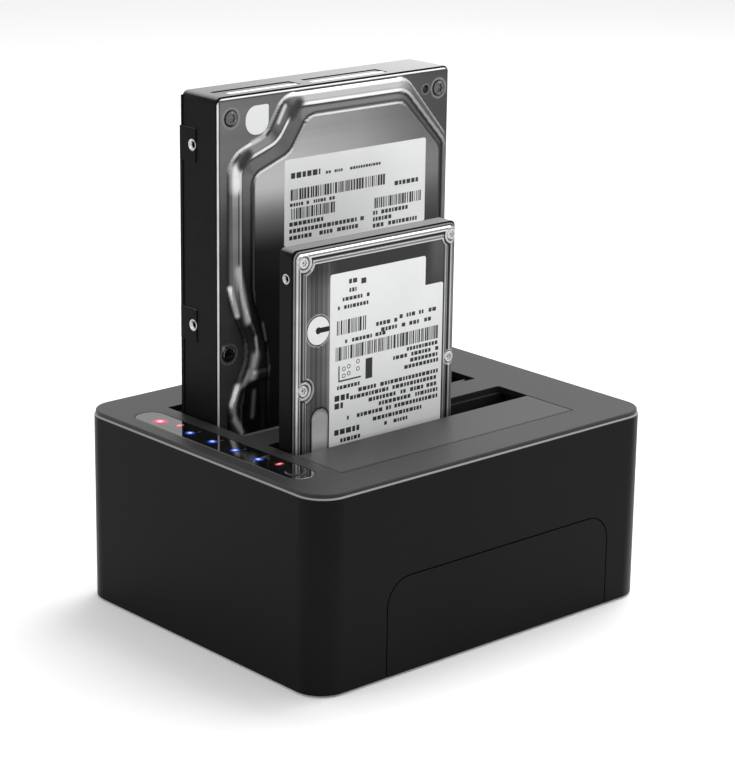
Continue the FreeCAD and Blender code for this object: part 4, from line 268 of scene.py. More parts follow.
def stamped_cover(name, metallic):
    # Brushed sheet metal; its vertex colours hold the painted shading and painted reflections of its bends.
    made = Material(name)
    painted_shading = made.add("ShaderNodeVertexColor", layer_name="painted_shading")
    lines = made.noise(700.0, 5.0, COVER_BRUSHING)
    wide = made.noise(110.0, 3.0, COVER_BRUSHING)
    clouds = made.noise(25.0, 2.0)
    streaks = made.ramp(wide, 0.3, 0.7, ((0.84, 0.84, 0.84), (1.1, 1.1, 1.1)))
    made.feed("Base Color", made.mix(1.0, painted_shading.outputs["Color"], streaks, "MULTIPLY"))
    rough = made.count("ADD", made.between(lines, COVER_ROUGHNESS - 0.06, COVER_ROUGHNESS + 0.08),
                       made.between(clouds, -0.03, 0.04))
    made.feed("Roughness", rough)
    made.bump(lines, 0.15, 0.000006)
    made.set(Metallic=metallic)
    return made.material


def printed_ink(name):
    # Black print on paper, a little uneven where the ink is thin.
    made = Material(name)
    spots = made.noise(2600.0, 4.0)
    made.feed("Base Color", made.ramp(spots, 0.3, 0.8, ((0.004, 0.004, 0.005), (0.022, 0.022, 0.024))))
    made.feed("Roughness", made.between(spots, 0.4, 0.65))
    return made.material


def tick_print(name):
    made = Material(name)
    spots = made.noise(900.0)
    made.feed("Base Color", made.ramp(spots, 0.3, 0.7, ((0.05, 0.05, 0.055), (0.09, 0.09, 0.095))))
    made.set(Roughness=0.4)
    return made.material


def glossy_window(name, glows):
    # Smoked gloss plastic with a painted glow round the lamps that stand in it.
    made = Material(name)
    smears = made.noise(30.0, 2.0)
    made.feed("Base Color", made.ramp(smears, 0.3, 0.7, ((0.002, 0.002, 0.0025), (0.005, 0.005, 0.006))))
    made.feed("Roughness", made.between(smears, 0.02, 0.045))
    total = (0, 0, 0)
    for place, (core, rim), colour in glows:
        fall = made.spread(made.distance(place), core, rim, 1, 0, "SMOOTHERSTEP")
        tint = made.add("ShaderNodeVectorMath", operation="SCALE")
        tint.inputs[0].default_value = colour
        made.put(fall, tint.inputs["Scale"])
        total = made.count("ADD", total, tint.outputs["Vector"], "ShaderNodeVectorMath", "Vector")
    made.feed("Emission Color", total)
    made.set(Emission_Strength=1.0, IOR=WINDOW_IOR)
    return made.material


def lamp_lens(name, places, radius, core, colour):
    # A lit lens: nearly white in its middle, its own colour towards the rim.
    made = Material(name)
    nearest = made.distance(places[0])
    for place in places[1:]:
        nearest = made.count("MINIMUM", nearest, made.distance(place))
    share = made.count("DIVIDE", nearest, radius)
    made.feed("Emission Color", made.ramp(share, 0.25, 0.72, (core, colour)))
    spots = made.noise(900.0)
    made.feed("Base Color", made.ramp(spots, 0.2, 0.8, (scaled(colour, 0.3), scaled(colour, 0.4))))
    made.set(Emission_Strength=1.0, Roughness=0.3)
    return made.material


# Lamps in the window; each painted glow on the window is full to one distance in metres and gone at another
LAMP_GAP = 3.0
LAMP_TOP_SLICE = 0.2
POWER_GLOW = (0.0016, 0.0032)
BLUE_GLOW = (0.0012, 0.0023)
DASH_GLOW = (0.0008, 0.0022)
WINDOW_IOR = 1.85


def solid_middles(node):
    # One middle for each separate lamp of a node, at the node's top.
    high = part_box(node)[1]
    points = np.array([vertex.co for vertex in NODES[node].data.vertices])
    top = points[points[:, 2] > high[2] - LAMP_TOP_SLICE * MM]
    order = np.sort(top[:, 1])
    gaps = np.where(np.diff(order) > LAMP_GAP * MM)[0]
    groups = np.split(order, gaps + 1)
    middle_x = (top[:, 0].min() + top[:, 0].max()) / 2
    return [(middle_x, (group[0] + group[-1]) / 2, high[2]) for group in groups]


POWER_LAMP = solid_middles("power_led")
BLUE_LAMPS = solid_middles("progress_leds")
DASH_LAMPS = solid_middles("dash_leds")
GLOWS = ([(place, POWER_GLOW, (0.45, 0.006, 0.05)) for place in POWER_LAMP]
         + [(place, BLUE_GLOW, (0.002, 0.012, 0.16)) for place in BLUE_LAMPS]
         + [(place, DASH_GLOW, (0.14, 0.004, 0.012)) for place in DASH_LAMPS])

# Finishes
COVER_BRUSHING = (0.04, 1, 1)
COVER_ROUGHNESS = 0.30

# Painted light and shade on the housing: the shell's rim is lighter with a painted highlight and its corners
# with a painted sheen, the edges of plate and flap dark with painted shade
SHELL_COLOUR = (0.0072, 0.0072, 0.0074)
CORNER_PAINTED_SHEEN = (0.045, 0.045, 0.046)
TOP_COLOUR = (0.0265, 0.0265, 0.027)
# The front flap: the top's plastic painted lighter, painted light against the shade that the drives cast on
# it.
FLAP_LIGHTENED_COLOUR = (0.046, 0.046, 0.0465)
EDGE_PAINTED_SHADE = (0.012, 0.012, 0.012)
RIM_PAINTED_HIGHLIGHT = (0.32, 0.32, 0.322)
SHELL_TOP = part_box("housing_shell")[1][2]
PLATE_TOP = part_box("top_plate")[1][2]
FLAP_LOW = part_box("flap_front")[0]
SHELL_PAINTED_BANDS = [("Normal", "Y", 0.1, 0.5, CORNER_PAINTED_SHEEN), ("Normal", "X", 0.1, 0.5, CORNER_PAINTED_SHEEN),
               ("Normal", "Y", 0.75, 0.98, SHELL_COLOUR), ("Normal", "X", 0.75, 0.98, SHELL_COLOUR),
               ("Object", "Z", SHELL_TOP - 0.55 * MM, SHELL_TOP - 0.40 * MM, RIM_PAINTED_HIGHLIGHT),
               ("Normal", "Z", 0.9, 0.97, EDGE_PAINTED_SHADE)]
PLATE_PAINTED_SHADE = [("Object", "Z", PLATE_TOP - 0.20 * MM, PLATE_TOP - 0.30 * MM, EDGE_PAINTED_SHADE)]
FLAP_PAINTED_SHADE = [("Object", "Y", FLAP_LOW[1] + 0.85 * MM, FLAP_LOW[1] + 0.7 * MM, EDGE_PAINTED_SHADE)]

MATERIALS = {
    "satin_black_plastic": lambda: banded_plastic("satin_black", SHELL_COLOUR, 0.06, SHELL_PAINTED_BANDS),
    "panel_black_plastic": lambda: moulded_plastic("panel_black", SHELL_COLOUR, 0.45, specular=0.06),
    "frame_black_plastic": lambda: moulded_plastic("frame_black", (0.006, 0.006, 0.0065), 0.55, specular=0.3),
    "window_gloss_black": lambda: glossy_window("window_gloss", GLOWS),
    "button_gloss_black": lambda: moulded_plastic("button_gloss", (0.006, 0.006, 0.007), 0.07, 300.0,
                                                  0.000001),
    "red_lens": lambda: lamp_lens("red_lens", POWER_LAMP, 0.0019, (1.0, 0.75, 0.85), (0.78, 0.012, 0.11)),
    "blue_lens": lambda: lamp_lens("blue_lens", BLUE_LAMPS, 0.0015, (0.62, 0.80, 1.0), (0.006, 0.035, 0.36)),
    "pink_lens": lambda: lamp_lens("pink_lens", DASH_LAMPS, 0.0013, (1.0, 0.50, 0.50), (0.75, 0.06, 0.10)),
    "black_moulding": lambda: moulded_plastic("black_moulding", (0.012, 0.012, 0.013), 0.5),
    "chip_black": lambda: moulded_plastic("chip_black", (0.02, 0.02, 0.022), 0.6),
    "capacitor_can": lambda: brushed_metal("capacitor_can", (0.6, 0.61, 0.63), 0.3, (1, 1, 12)),
    "circuit_board": lambda: circuit_board("circuit_board"),
    "ribbon_grey": lambda: moulded_plastic("ribbon_grey", (0.35, 0.35, 0.36), 0.5),
    "port_steel": lambda: brushed_metal("port_steel", (0.6, 0.6, 0.62), 0.28, (1, 12, 1)),
    "steel": lambda: brushed_metal("steel", (0.36, 0.36, 0.37), 0.3, (6, 1, 6)),
    "spring_steel": lambda: brushed_metal("spring_steel", (0.5, 0.5, 0.52), 0.3, (1, 8, 8)),
    "black_screw": lambda: brushed_metal("black_screw", (0.06, 0.06, 0.065), 0.35, (6, 6, 1)),
    "foot_rubber": lambda: moulded_plastic("foot_rubber", (0.018, 0.018, 0.018), 0.75, 900.0, 0.00004, 0.3),
    "cast_black_paint": lambda: cast_paint("cast_black", (0.0036, 0.0036, 0.0038), 0.45, 0.00003,
                                           ((0.22, 0.22, 0.225), (0.46, 0.46, 0.47))),
    "stamped_cover": lambda: stamped_cover("stamped_cover", 0.28),
    "dark_casting": lambda: cast_paint("dark_casting", (0.0036, 0.0036, 0.0038), 0.38, 0.00002,
                                       ((0.20, 0.20, 0.205), (0.26, 0.26, 0.265))),
    "platter_aluminium": lambda: brushed_metal("platter", (0.8, 0.8, 0.82), 0.12, (1, 1, 1)),
    "white_label": lambda: paper_label("white_label", (0.93, 0.935, 0.94)),
    "light_seal": lambda: paper_label("seal_foil", (0.93, 0.935, 0.94)),
}


def dress_nodes():
    made = {slot: maker() for slot, maker in MATERIALS.items()}
    made["ink"] = printed_ink("ink")
    made["tick_print"] = tick_print("tick_print")
    made["thin_cover"] = stamped_cover("thin_cover", 0.6)
    made["dark_steel"] = brushed_metal("dark_steel", (0.13, 0.13, 0.135), 0.25, (6, 1, 6))
    made["top_satin"] = banded_plastic("top_satin", TOP_COLOUR, 0.3, PLATE_PAINTED_SHADE)
    made["flap_lightened_satin"] = banded_plastic("flap_lightened_satin", FLAP_LIGHTENED_COLOUR, 0.3, FLAP_PAINTED_SHADE)
    special = {"top_plate": "top_satin", "flap_rear": "top_satin", "flap_front": "flap_lightened_satin"}
    for entry in frame["record"]["subparts"]:
        node = entry["node"]
        materials = NODES[node].data.materials
        materials.clear()
        materials.append(made[special.get(node, entry["material_slot"])])
    return made


FINISHES = dress_nodes()

# Edges that catch the light: node, bevel width in mm and segments
SOFT_EDGES = {
    "top_plate": (0.35, 3),
    "housing_shell": (0.35, 3),
    "front_panel": (0.25, 2),
    "flap_front": (0.3, 3),
    "flap_rear": (0.3, 3),
    "clone_button": (0.3, 3),
    "indicator_window": (0.12, 2),
    "drive35_base": (0.35, 3),
    "drive25_base": (0.35, 3),
    "power_rocker": (0.3, 3),
    "power_switch_body": (0.2, 2),
    "usb_port": (0.1, 2),
    "dc_jack": (0.2, 2),
    "rubber_feet": (0.4, 3),
    "base_plate": (0.2, 2),
}
WELD_DISTANCE = 0.001
BEVEL_ANGLE = math.radians(32)


def soften_edges():
    for node, (width, segments) in SOFT_EDGES.items():
        weld = NODES[node].modifiers.new("weld", "WELD")
        weld.merge_threshold = WELD_DISTANCE * MM
        bevel = NODES[node].modifiers.new("bevel", "BEVEL")
        bevel.width = width * MM
        bevel.segments = segments
        bevel.limit_method = "ANGLE"
        bevel.angle_limit = BEVEL_ANGLE
        bevel.harden_normals = True


# Meshes
BLOCK_SIDES = ((0, 1, 2, 3), (7, 6, 5, 4), (0, 4, 5, 1), (1, 5, 6, 2), (2, 6, 7, 3), (3, 7, 4, 0))


def new_object(name, data):
    made = bpy.data.objects.new(name, data)
    bpy.context.scene.collection.objects.link(made)
    return made


def new_piece(name, vertices, faces, body, slot, finish, sharp=30.0):
    mesh = bpy.data.meshes.new(name)
    mesh.from_pydata([tuple(vertex) for vertex in vertices], [], faces)
    mesh.update()
    mesh.shade_smooth()
    mesh.set_sharp_from_angle(angle=math.radians(sharp))
    mesh.materials.append(FINISHES[finish])
    piece = new_object(name, mesh)
    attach(piece, body)
    return piece


def circle(count):
    return [2 * math.pi * k / count for k in range(count)]


def ring_faces(first, rings, sides, closed=False):
    # Faces between rings of points that follow one another; closed joins the last ring to the first.
    faces = []
    for ring in range(rings if closed else rings - 1):
        near = first + ring * sides
        far = first + (ring + 1) % rings * sides
        for k in range(sides):
            after = (k + 1) % sides
            faces.append((near + k, near + after, far + after, far + k))
    return faces


def blocks(point, measures):
    # Points and faces of plain blocks, each from its least and greatest measure along three axes.
    vertices = []
    faces = []
    for a0, a1, b0, b1, c0, c1 in measures:
        first = len(vertices)
        for c in (c0, c1):
            vertices += [point(a, b, c) for a, b in ((a0, b0), (a1, b0), (a1, b1), (a0, b1))]
        faces += [tuple(first + index for index in side) for side in BLOCK_SIDES]
    return vertices, faces


class DriveFace:
    # A drive's own measures in mm: u from its left side, v from its lower end, depth back from its front.
    def __init__(self, cover, left_inset, low_inset, body):
        low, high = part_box(cover)
        self.left = low[0] - left_inset * MM
        self.front = low[1]
        self.bottom = low[2] - low_inset * MM
        self.body = body

    def point(self, u, v, depth):
        return (self.left + u * MM, self.front + depth * MM, self.bottom + v * MM)

    def around(self, u, v, radius, angle, depth):
        return self.point(u + radius * math.cos(angle), v + radius * math.sin(angle), depth)


LARGE = DriveFace("drive35_cover", 0.6, 0.6, "drive_35")
SMALL = DriveFace("drive25_cover", 0.5, 9.0, "drive_25")


def unit(vector):
    return vector / np.linalg.norm(vector)


def rounded(corners, steps=8):
    # A closed outline through (u, v, radius) corners, each turned on an arc of its radius.
    points = []
    count = len(corners)
    for i, (u, v, radius) in enumerate(corners):
        here = np.array((u, v))
        back = unit(np.array(corners[i - 1][:2]) - here)
        ahead = unit(np.array(corners[(i + 1) % count][:2]) - here)
        half = math.acos(np.clip(back @ ahead, -1, 1)) / 2
        middle = here + unit(back + ahead) * radius / math.sin(half)
        start = here + back * radius / math.tan(half) - middle
        end = here + ahead * radius / math.tan(half) - middle
        first = math.atan2(start[1], start[0])
        sweep = (math.atan2(end[1], end[0]) - first + math.pi) % (2 * math.pi) - math.pi
        for step in range(steps + 1):
            angle = first + sweep * step / steps
            points.append(middle + radius * np.array((math.cos(angle), math.sin(angle))))
    return np.array(points)


def inside(points, outline):
    # How far each point lies inside a closed outline, negative outside it, and which way is out, in degrees.
    nearest = np.full(len(points), np.inf)
    out = np.zeros_like(points)
    within = np.zeros(len(points), bool)
    for start, end in zip(outline, np.roll(outline, -1, axis=0)):
        along = end - start
        length = along @ along
        if length < 1e-12:
            continue
        share = np.clip(((points - start) @ along) / length, 0, 1)
        gap = start + share[:, None] * along - points
        apart = np.hypot(gap[:, 0], gap[:, 1])
        closer = apart < nearest
        nearest[closer] = apart[closer]
        out[closer] = gap[closer]
        if start[1] != end[1]:
            crosses = (points[:, 1] < start[1]) != (points[:, 1] < end[1])
            where = start[0] + (points[:, 1] - start[1]) / (end[1] - start[1]) * along[0]
            within ^= crosses & (points[:, 0] < where)
    out[~within] *= -1
    angle = np.degrees(np.arctan2(out[:, 1], out[:, 0])) % 360
    return np.where(within, nearest, -nearest), angle


def smooth(value):
    share = np.clip(value, 0, 1)
    return share * share * (3 - 2 * share)


def band(value, low, high, blur=0.15):
    # 1 between low and high, falling to 0 over the blur.
    return smooth((value - low) / blur + 0.5) * smooth((high - value) / blur + 0.5)


def nearest_to(points, places):
    # How far each point lies from the nearest of some places.
    apart = [np.hypot(points[:, 0] - u, points[:, 1] - v) for u, v in places]
    return np.minimum.reduce(apart)


def shade_by_side(angle, right, upper_right, top, upper_left, left, bottom):
    # A painted shade: a grey that depends on the side that a bend faces.
    return np.interp(angle, (0, 45, 90, 135, 180, 270, 360),
                     (right, upper_right, top, upper_left, left, bottom, right))


def steps_between(stops):
    # Grid lines through (start, end, spacing) stretches.
    lines = []
    for start, end, spacing in stops:
        lines.extend(np.linspace(start, end, max(int(round((end - start) / spacing)), 1), endpoint=False))
    lines.append(stops[-1][1])
    return np.array(lines)


def round_corners(points, low, high, radius):
    # Draws the corner squares of a grid in to quarter discs.
    made = points.copy()
    for su, cu in ((-1, low[0] + radius), (1, high[0] - radius)):
        for sv, cv in ((-1, low[1] + radius), (1, high[1] - radius)):
            a = (points[:, 0] - cu) * su / radius
            b = (points[:, 1] - cv) * sv / radius
            here = (a > 0) & (b > 0)
            a = a[here]
            b = b[here]
            made[here, 0] = cu + su * radius * a * np.sqrt(1 - b * b / 2)
            made[here, 1] = cv + sv * radius * b * np.sqrt(1 - a * a / 2)
    return made


PAINTED_REFLECTION_BLUR = 1.5


class PaintedShading:
    # Painted shading, painted highlights and painted reflections of a cover: greys from 0 to 255 at its
    # points, laid over one another.
    def __init__(self, points, greys):
        self.points = points
        self.greys = greys

    def lay(self, cover, value):
        self.greys = self.greys * (1 - cover) + value * cover

    def streaks(self, strokes):
        # Soft strokes of painted highlight and painted dark reflection, one grey each: start, end, half width
        # and grey.
        for start, end, width, value in strokes:
            start = np.array(start)
            along = np.array(end) - start
            share = np.clip(((self.points - start) @ along) / (along @ along), 0, 1)
            apart = np.linalg.norm(self.points - start - share[:, None] * along, axis=1)
            self.lay(smooth((width - apart) / (PAINTED_REFLECTION_BLUR * width) + 0.5), value)


SHEET_EDGE_GREY = 30


def sheet_piece(name, face, columns, rows, corner, shape, back, node, finish):
    # A stamped sheet: a fine grid raised by shape(points), with walls and a flat back.
    us, vs = np.meshgrid(columns, rows, indexing="ij")
    flat = np.stack((us.ravel(), vs.ravel()), axis=1)
    points = round_corners(flat, (columns[0], rows[0]), (columns[-1], rows[-1]), corner)
    depth, painted_shading = shape(points)
    vertices = [face.point(u, v, d) for (u, v), d in zip(points, depth)]
    wide, tall = len(columns), len(rows)
    faces = []
    for i in range(wide - 1):
        for j in range(tall - 1):
            here = i * tall + j
            faces.append((here, here + tall, here + tall + 1, here + 1))
    rim = [i * tall for i in range(wide)]
    rim += [(wide - 1) * tall + j for j in range(1, tall)]
    rim += [i * tall + tall - 1 for i in range(wide - 2, -1, -1)]
    rim += [j for j in range(tall - 2, 0, -1)]
    first = len(vertices)
    vertices += [face.point(*points[index], back) for index in rim]
    count = len(rim)
    for k in range(count):
        after = (k + 1) % count
        faces.append((rim[k], first + k, first + after, rim[after]))
    faces.append(tuple(first + k for k in range(count - 1, -1, -1)))
    piece = new_piece(name, vertices, faces, face.body, "stamped_cover", finish)
    # The vertex colours carry the painted shading and painted reflections from shape(); the walls take one
    # grey.
    colours = np.ones((len(vertices), 4))
    shades = grey(np.concatenate((painted_shading, np.full(count, SHEET_EDGE_GREY))))
    colours[:, :3] = shades[:, None]
    layer = piece.data.color_attributes.new("painted_shading", "FLOAT_COLOR", "POINT")
    layer.data.foreach_set("color", colours.ravel())
    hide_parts(node)


# Cover of the 3.5 inch drive, in mm on the drive
STEP_FOOT = 0.67
LARGE_WIDTH = 101.6
LARGE_HEIGHT = 147.0
LARGE_INSET = 0.6
LARGE_CORNER = 2.2
LARGE_STEP = 1.2
LARGE_BACK = 2.0
BEAD_SLOPE = 0.9
CREST_RISE = 0.22
VALLEY_SLOPE = 0.7
VALLEY_DROP = 0.7
PLATEAU_SLOPE = 0.6
PLATEAU_DROP = 0.15
CURL_MIDDLE = 62.0
CURL_REACH = 18.0
LARGE_SCREWS = ((6.0, 139.8), (96.4, 139.8), (4.9, 62.0), (6.0, 6.0), (96.4, 6.0))
LARGE_SCREW_RADIUS = 2.4
LARGE_SCREW_HEAD = 0.7
DIMPLE_RADIUS = 3.1
DIMPLE_SLOPE = 0.5
DIMPLE_DROP = 0.3
SMALL_HOLE = (90.4, 140.0)
SMALL_HOLE_RADIUS = 1.4
SMALL_HOLE_SLOPE = 0.4
SMALL_HOLE_DEPTH = 1.9
BRIDGE = (51.0, 54.5)
BRIDGE_RIGHT = 20.7
BRIDGE_SLOPE = 0.6
POT = ((9.4, 33.0, 4.0), (18.8, 33.0, 4.0), (17.5, 51.0, 2.5), (10.7, 51.0, 2.5))
POT_DROP = 0.9
POT_SLOPE = 0.8
ROLL_WIDTH = 0.5
ROLL_DROP = 0.3


def stepped(left, right, bottom, top, cut, step, radii, curl):
    # An outline that is cut off at its top right, steps in at its top left and curls in on the left.
    cut_width, cut_height = cut
    step_width, step_height = step
    return [(left, bottom, radii[0]), (right, bottom, radii[0]), (right, top - cut_height, radii[1]),
            (right - cut_width, top, radii[2]), (left + step_width, top, radii[3]),
            (left + STEP_FOOT * step_width, top - STEP_FOOT * step_height, radii[4]),
            (left, top - step_height, radii[5])] + curl


def curled(left, inner, radii):
    # The corners of the curl, from the top down.
    places = ((left, CURL_MIDDLE + CURL_REACH), (inner, CURL_MIDDLE), (left, CURL_MIDDLE - CURL_REACH))
    return [(u, v, radius) for (u, v), radius in zip(places, radii)]


def bead_outline():
    return rounded(stepped(4.4, 100.2, 12.0, 145.4, (19.2, 22.2), (23.0, 18.2), (4, 6, 9, 9, 8, 9),
                           curled(4.4, 12.6, (22.0, 14.0, 14.0))))


def valley_outline():
    return rounded(stepped(9.4, 98.2, 15.0, 141.0, (18.0, 19.6), (23.0, 16.4), (3, 5, 8, 6, 10, 6),
                           curled(9.4, 17.6, (18.0, 16.0, 12.0))))


def plateau_outline():
    # Its curl ends at the curl's middle, so its lower left corner is further in.
    corners = stepped(14.5, 96.6, 18.0, 137.3, (17.0, 17.7), (23.1, 17.1), (3, 4, 6, 6, 9, 5),
                      curled(14.5, 20.7, (20.0, 20.0)))
    corners[0] = (20.7, 18.0, 3.0)
    return rounded(corners)


# Painted highlights and painted dark reflections on the large cover: start, end, half width and grey.
LARGE_PAINTED_REFLECTIONS = [
    ((7.1, 123.2), (7.3, 117.2), 2.0, 255),
    ((9.6, 124.4), (12.0, 127.2), 1.7, 22),
    ((30.6, 138.6), (33.2, 141.4), 1.9, 26),
    ((4.9, 84.3), (7.9, 74.7), 0.75, 255),
    ((8.0, 90.0), (12.0, 72.6), 1.5, 255),
    ((15.5, 65.9), (16.2, 60.9), 0.9, 225),
    ((15.4, 59.5), (13.8, 53.2), 1.9, 255),
    ((12.6, 55.0), (10.6, 51.6), 1.0, 235),
    ((10.2, 51.2), (7.8, 50.2), 0.9, 205),
    ((7.8, 50.2), (5.9, 44.9), 1.0, 245),
    ((5.9, 44.9), (6.4, 39.8), 0.8, 215),
    ((6.6, 39.4), (9.8, 34.4), 1.1, 245),
    ((15.3, 47.5), (14.5, 39.1), 0.9, 140),
    ((18.4, 70.7), (20.0, 64.2), 0.3, 140),
    ((21.4, 55.6), (20.8, 52.0), 0.3, 120),
    ((2.6, 64.6), (3.2, 63.2), 0.5, 220),
    ((4.5, 73.0), (4.5, 68.0), 1.0, 85),
    ((24.6, 136.6), (27.4, 141.6), 0.7, 205),
    ((14.6, 131.2), (19.0, 132.6), 0.6, 190),
]


def large_cover_shape(points):
    u, v = points[:, 0], points[:, 1]
    bead, bead_side = inside(points, bead_outline())
    valley, valley_side = inside(points, valley_outline())
    plateau, plateau_side = inside(points, plateau_outline())
    pot = inside(points, rounded(POT))[0]
    edge = np.minimum.reduce((u - LARGE_INSET, LARGE_WIDTH - LARGE_INSET - u,
                              v - LARGE_INSET, LARGE_HEIGHT - LARGE_INSET - v))
    dimple = nearest_to(points, LARGE_SCREWS)
    hole = nearest_to(points, (SMALL_HOLE,))

    # Depth: a raised bead with hollow flanks, the valley inside it, the plateau, the pot, dimples and a hole
    bridge = smooth((v - BRIDGE[0]) / BRIDGE_SLOPE) * smooth((BRIDGE[1] - v) / BRIDGE_SLOPE)
    bridge = bridge * (u < BRIDGE_RIGHT)
    depth = LARGE_STEP * (1 - smooth(bead / BEAD_SLOPE))
    crest = np.clip(bead / np.maximum(bead - valley, 0.1), 0, 1)
    depth = depth + CREST_RISE * (2 * crest - 1) ** 4 * (bead > BEAD_SLOPE) * (valley < 0)
    depth = depth + VALLEY_DROP * smooth(valley / VALLEY_SLOPE) * (1 - bridge) * (bead > 0)
    depth = depth - (VALLEY_DROP - PLATEAU_DROP) * smooth(plateau / PLATEAU_SLOPE)
    depth = np.maximum(depth, POT_DROP * smooth(pot / POT_SLOPE))
    depth = np.maximum(depth, (LARGE_STEP + DIMPLE_DROP) * smooth((DIMPLE_RADIUS - dimple) / DIMPLE_SLOPE))
    depth = np.maximum(depth, SMALL_HOLE_DEPTH * smooth((SMALL_HOLE_RADIUS - hole) / SMALL_HOLE_SLOPE))
    depth = depth + ROLL_DROP * smooth((ROLL_WIDTH - edge) / ROLL_WIDTH)

    # How much each zone keeps of its light towards the lower end
    lower = smooth((v - 84) / 30)
    fall = 0.42 + 0.58 * lower
    bead_fall = 0.42 + 0.58 * smooth((v - 70) / 16)
    # Painted shading under all the zones: darker towards the right and towards the lower end.
    painted_shading = PaintedShading(points, np.interp(u, (0, 28, 60, 101), (108, 98, 84, 58)) * (0.76 + 0.24 * lower))

    # The bead: painted shading of its crest, and painted highlights and painted dark reflections along its
    # outer slope and its inner slope
    crest_grey = shade_by_side(valley_side, 85, 95, 196, 66, 172, 46)
    painted_shading.lay(smooth(bead / 0.3) * smooth(-valley / 0.2), crest_grey * bead_fall)
    painted_shading.lay(band(bead, -0.25, 0.45), shade_by_side(bead_side, 60, 205, 245, 215, 30, 40) * (0.35 + 0.65 * lower))
    painted_shading.lay(band(bead, 0.5, 1.1), shade_by_side(bead_side, 50, 90, 225, 30, 95, 30) * bead_fall)
    painted_shading.lay(band(valley, -1.5, -1.0), shade_by_side(valley_side, 60, 70, 175, 60, 25, 35) * bead_fall)
    painted_shading.lay(band(valley, -0.95, 0.05), shade_by_side(valley_side, 118, 170, 252, 250, 190, 50) * bead_fall)

    # The valley's painted shading, and the painted shade in dark lines at the plateau's foot
    valley_grey = shade_by_side(valley_side, 80, 85, 120, 88, 112, 40)
    painted_shading.lay(smooth(valley / 0.3) * smooth(-plateau / 0.2), valley_grey * fall)
    painted_shading.lay(band(valley, 0.15, 1.0), shade_by_side(valley_side, 45, 45, 46, 84, 58, 30) * fall)
    painted_shading.lay(band(plateau, -1.0, -0.35), shade_by_side(plateau_side, 35, 45, 58, 40, 45, 25) * fall)
    painted_shading.lay(band(plateau, -0.3, 0.0), shade_by_side(plateau_side, 30, 40, 60, 18, 18, 20))

    # The plateau's painted reflection, brightest at its upper left, with a painted highlight on its rim
    across = np.interp(u, (30, 60, 88), (1.0, 0.86, 0.56))
    flat = np.interp(v, (84, 96, 106, 116, 126, 137), (80, 112, 168, 212, 190, 160)) * across
    painted_shading.lay(smooth(plateau / 0.3), flat * np.maximum(smooth((v - 80) / 32), 0.42))
    painted_shading.lay(band(plateau, 0.02, 0.5), shade_by_side(plateau_side, 70, 130, 236, 225, 60, 40) * (0.3 + 0.7 * lower))

    # Painted shade in the pot, the dimples and the hole, single painted reflections, and painted shade and a
    # painted highlight at the sheet's edge
    painted_shading.lay(smooth(pot / 0.3), 24)
    painted_shading.lay(band(dimple, DIMPLE_RADIUS - 0.2, DIMPLE_RADIUS + 0.5), 128)
    painted_shading.lay(smooth((DIMPLE_RADIUS - 0.2 - dimple) / 0.3), 40)
    painted_shading.lay(smooth((SMALL_HOLE_RADIUS + 0.1 - hole) / 0.3), 12)
    painted_shading.lay(band(hole, SMALL_HOLE_RADIUS + 0.1, SMALL_HOLE_RADIUS + 0.5), 110)
    painted_shading.streaks(LARGE_PAINTED_REFLECTIONS)
    painted_shading.lay(band(edge, 0.5, 0.85), 46)
    painted_shading.lay(smooth((0.42 - edge) / 0.2), 250)
    return depth, painted_shading.greys


def make_large_cover():
    right = LARGE_WIDTH - LARGE_INSET
    top = LARGE_HEIGHT - LARGE_INSET
    columns = steps_between([(LARGE_INSET, 1.6, 0.25), (1.6, 36, 0.34), (36, 80, 1.2), (80, 100.0, 0.36),
                             (100.0, right, 0.25)])
    rows = steps_between([(LARGE_INSET, 1.6, 0.25), (1.6, 20, 0.8), (20, 92, 0.6), (92, 118, 0.8),
                          (118, 145.4, 0.34), (145.4, top, 0.25)])
    sheet_piece("large_drive_cover", LARGE, columns, rows, LARGE_CORNER, large_cover_shape, LARGE_BACK,
                "drive35_cover", "stamped_cover")


# Cover of the 2.5 inch drive, in mm on the drive
SMALL_WIDTH = 69.85
SMALL_EDGE = 0.5
SMALL_LOW = 9.0
SMALL_TOP = 99.5
SMALL_CORNER = 2.5
SMALL_STEP = 0.7
SMALL_BACK = 1.3
FIELD_DROP = 0.35
ROUND_SCREWS = ((4.3, 22.0), (4.3, 54.0), (4.3, 95.7), (67.45, 95.7))
SIDE_SCREWS = ((67.45, 54.0), (67.45, 22.0))
SMALL_SCREWS = ROUND_SCREWS + SIDE_SCREWS
SMALL_SCREW_RADIUS = 1.9
SMALL_SCREW_HEAD = 0.5
WELL_RADIUS = 2.3
RING_SEAL = (10.4, 72.9)
RING_RADIUS = 4.6
POCKET = ((8.0, 18.0, 0.8), (14.6, 18.0, 0.8), (14.6, 46.8, 3.2), (8.0, 46.8, 3.2))
POCKET_DROP = 0.15

# Where the groove inside the rim, the inner ridge and the sunk field begin: from the edge and from a screw
GROOVE = (2.3, 3.0)
INNER_RIDGE = (3.4, 3.6)
FIELD = (4.7, 4.3)


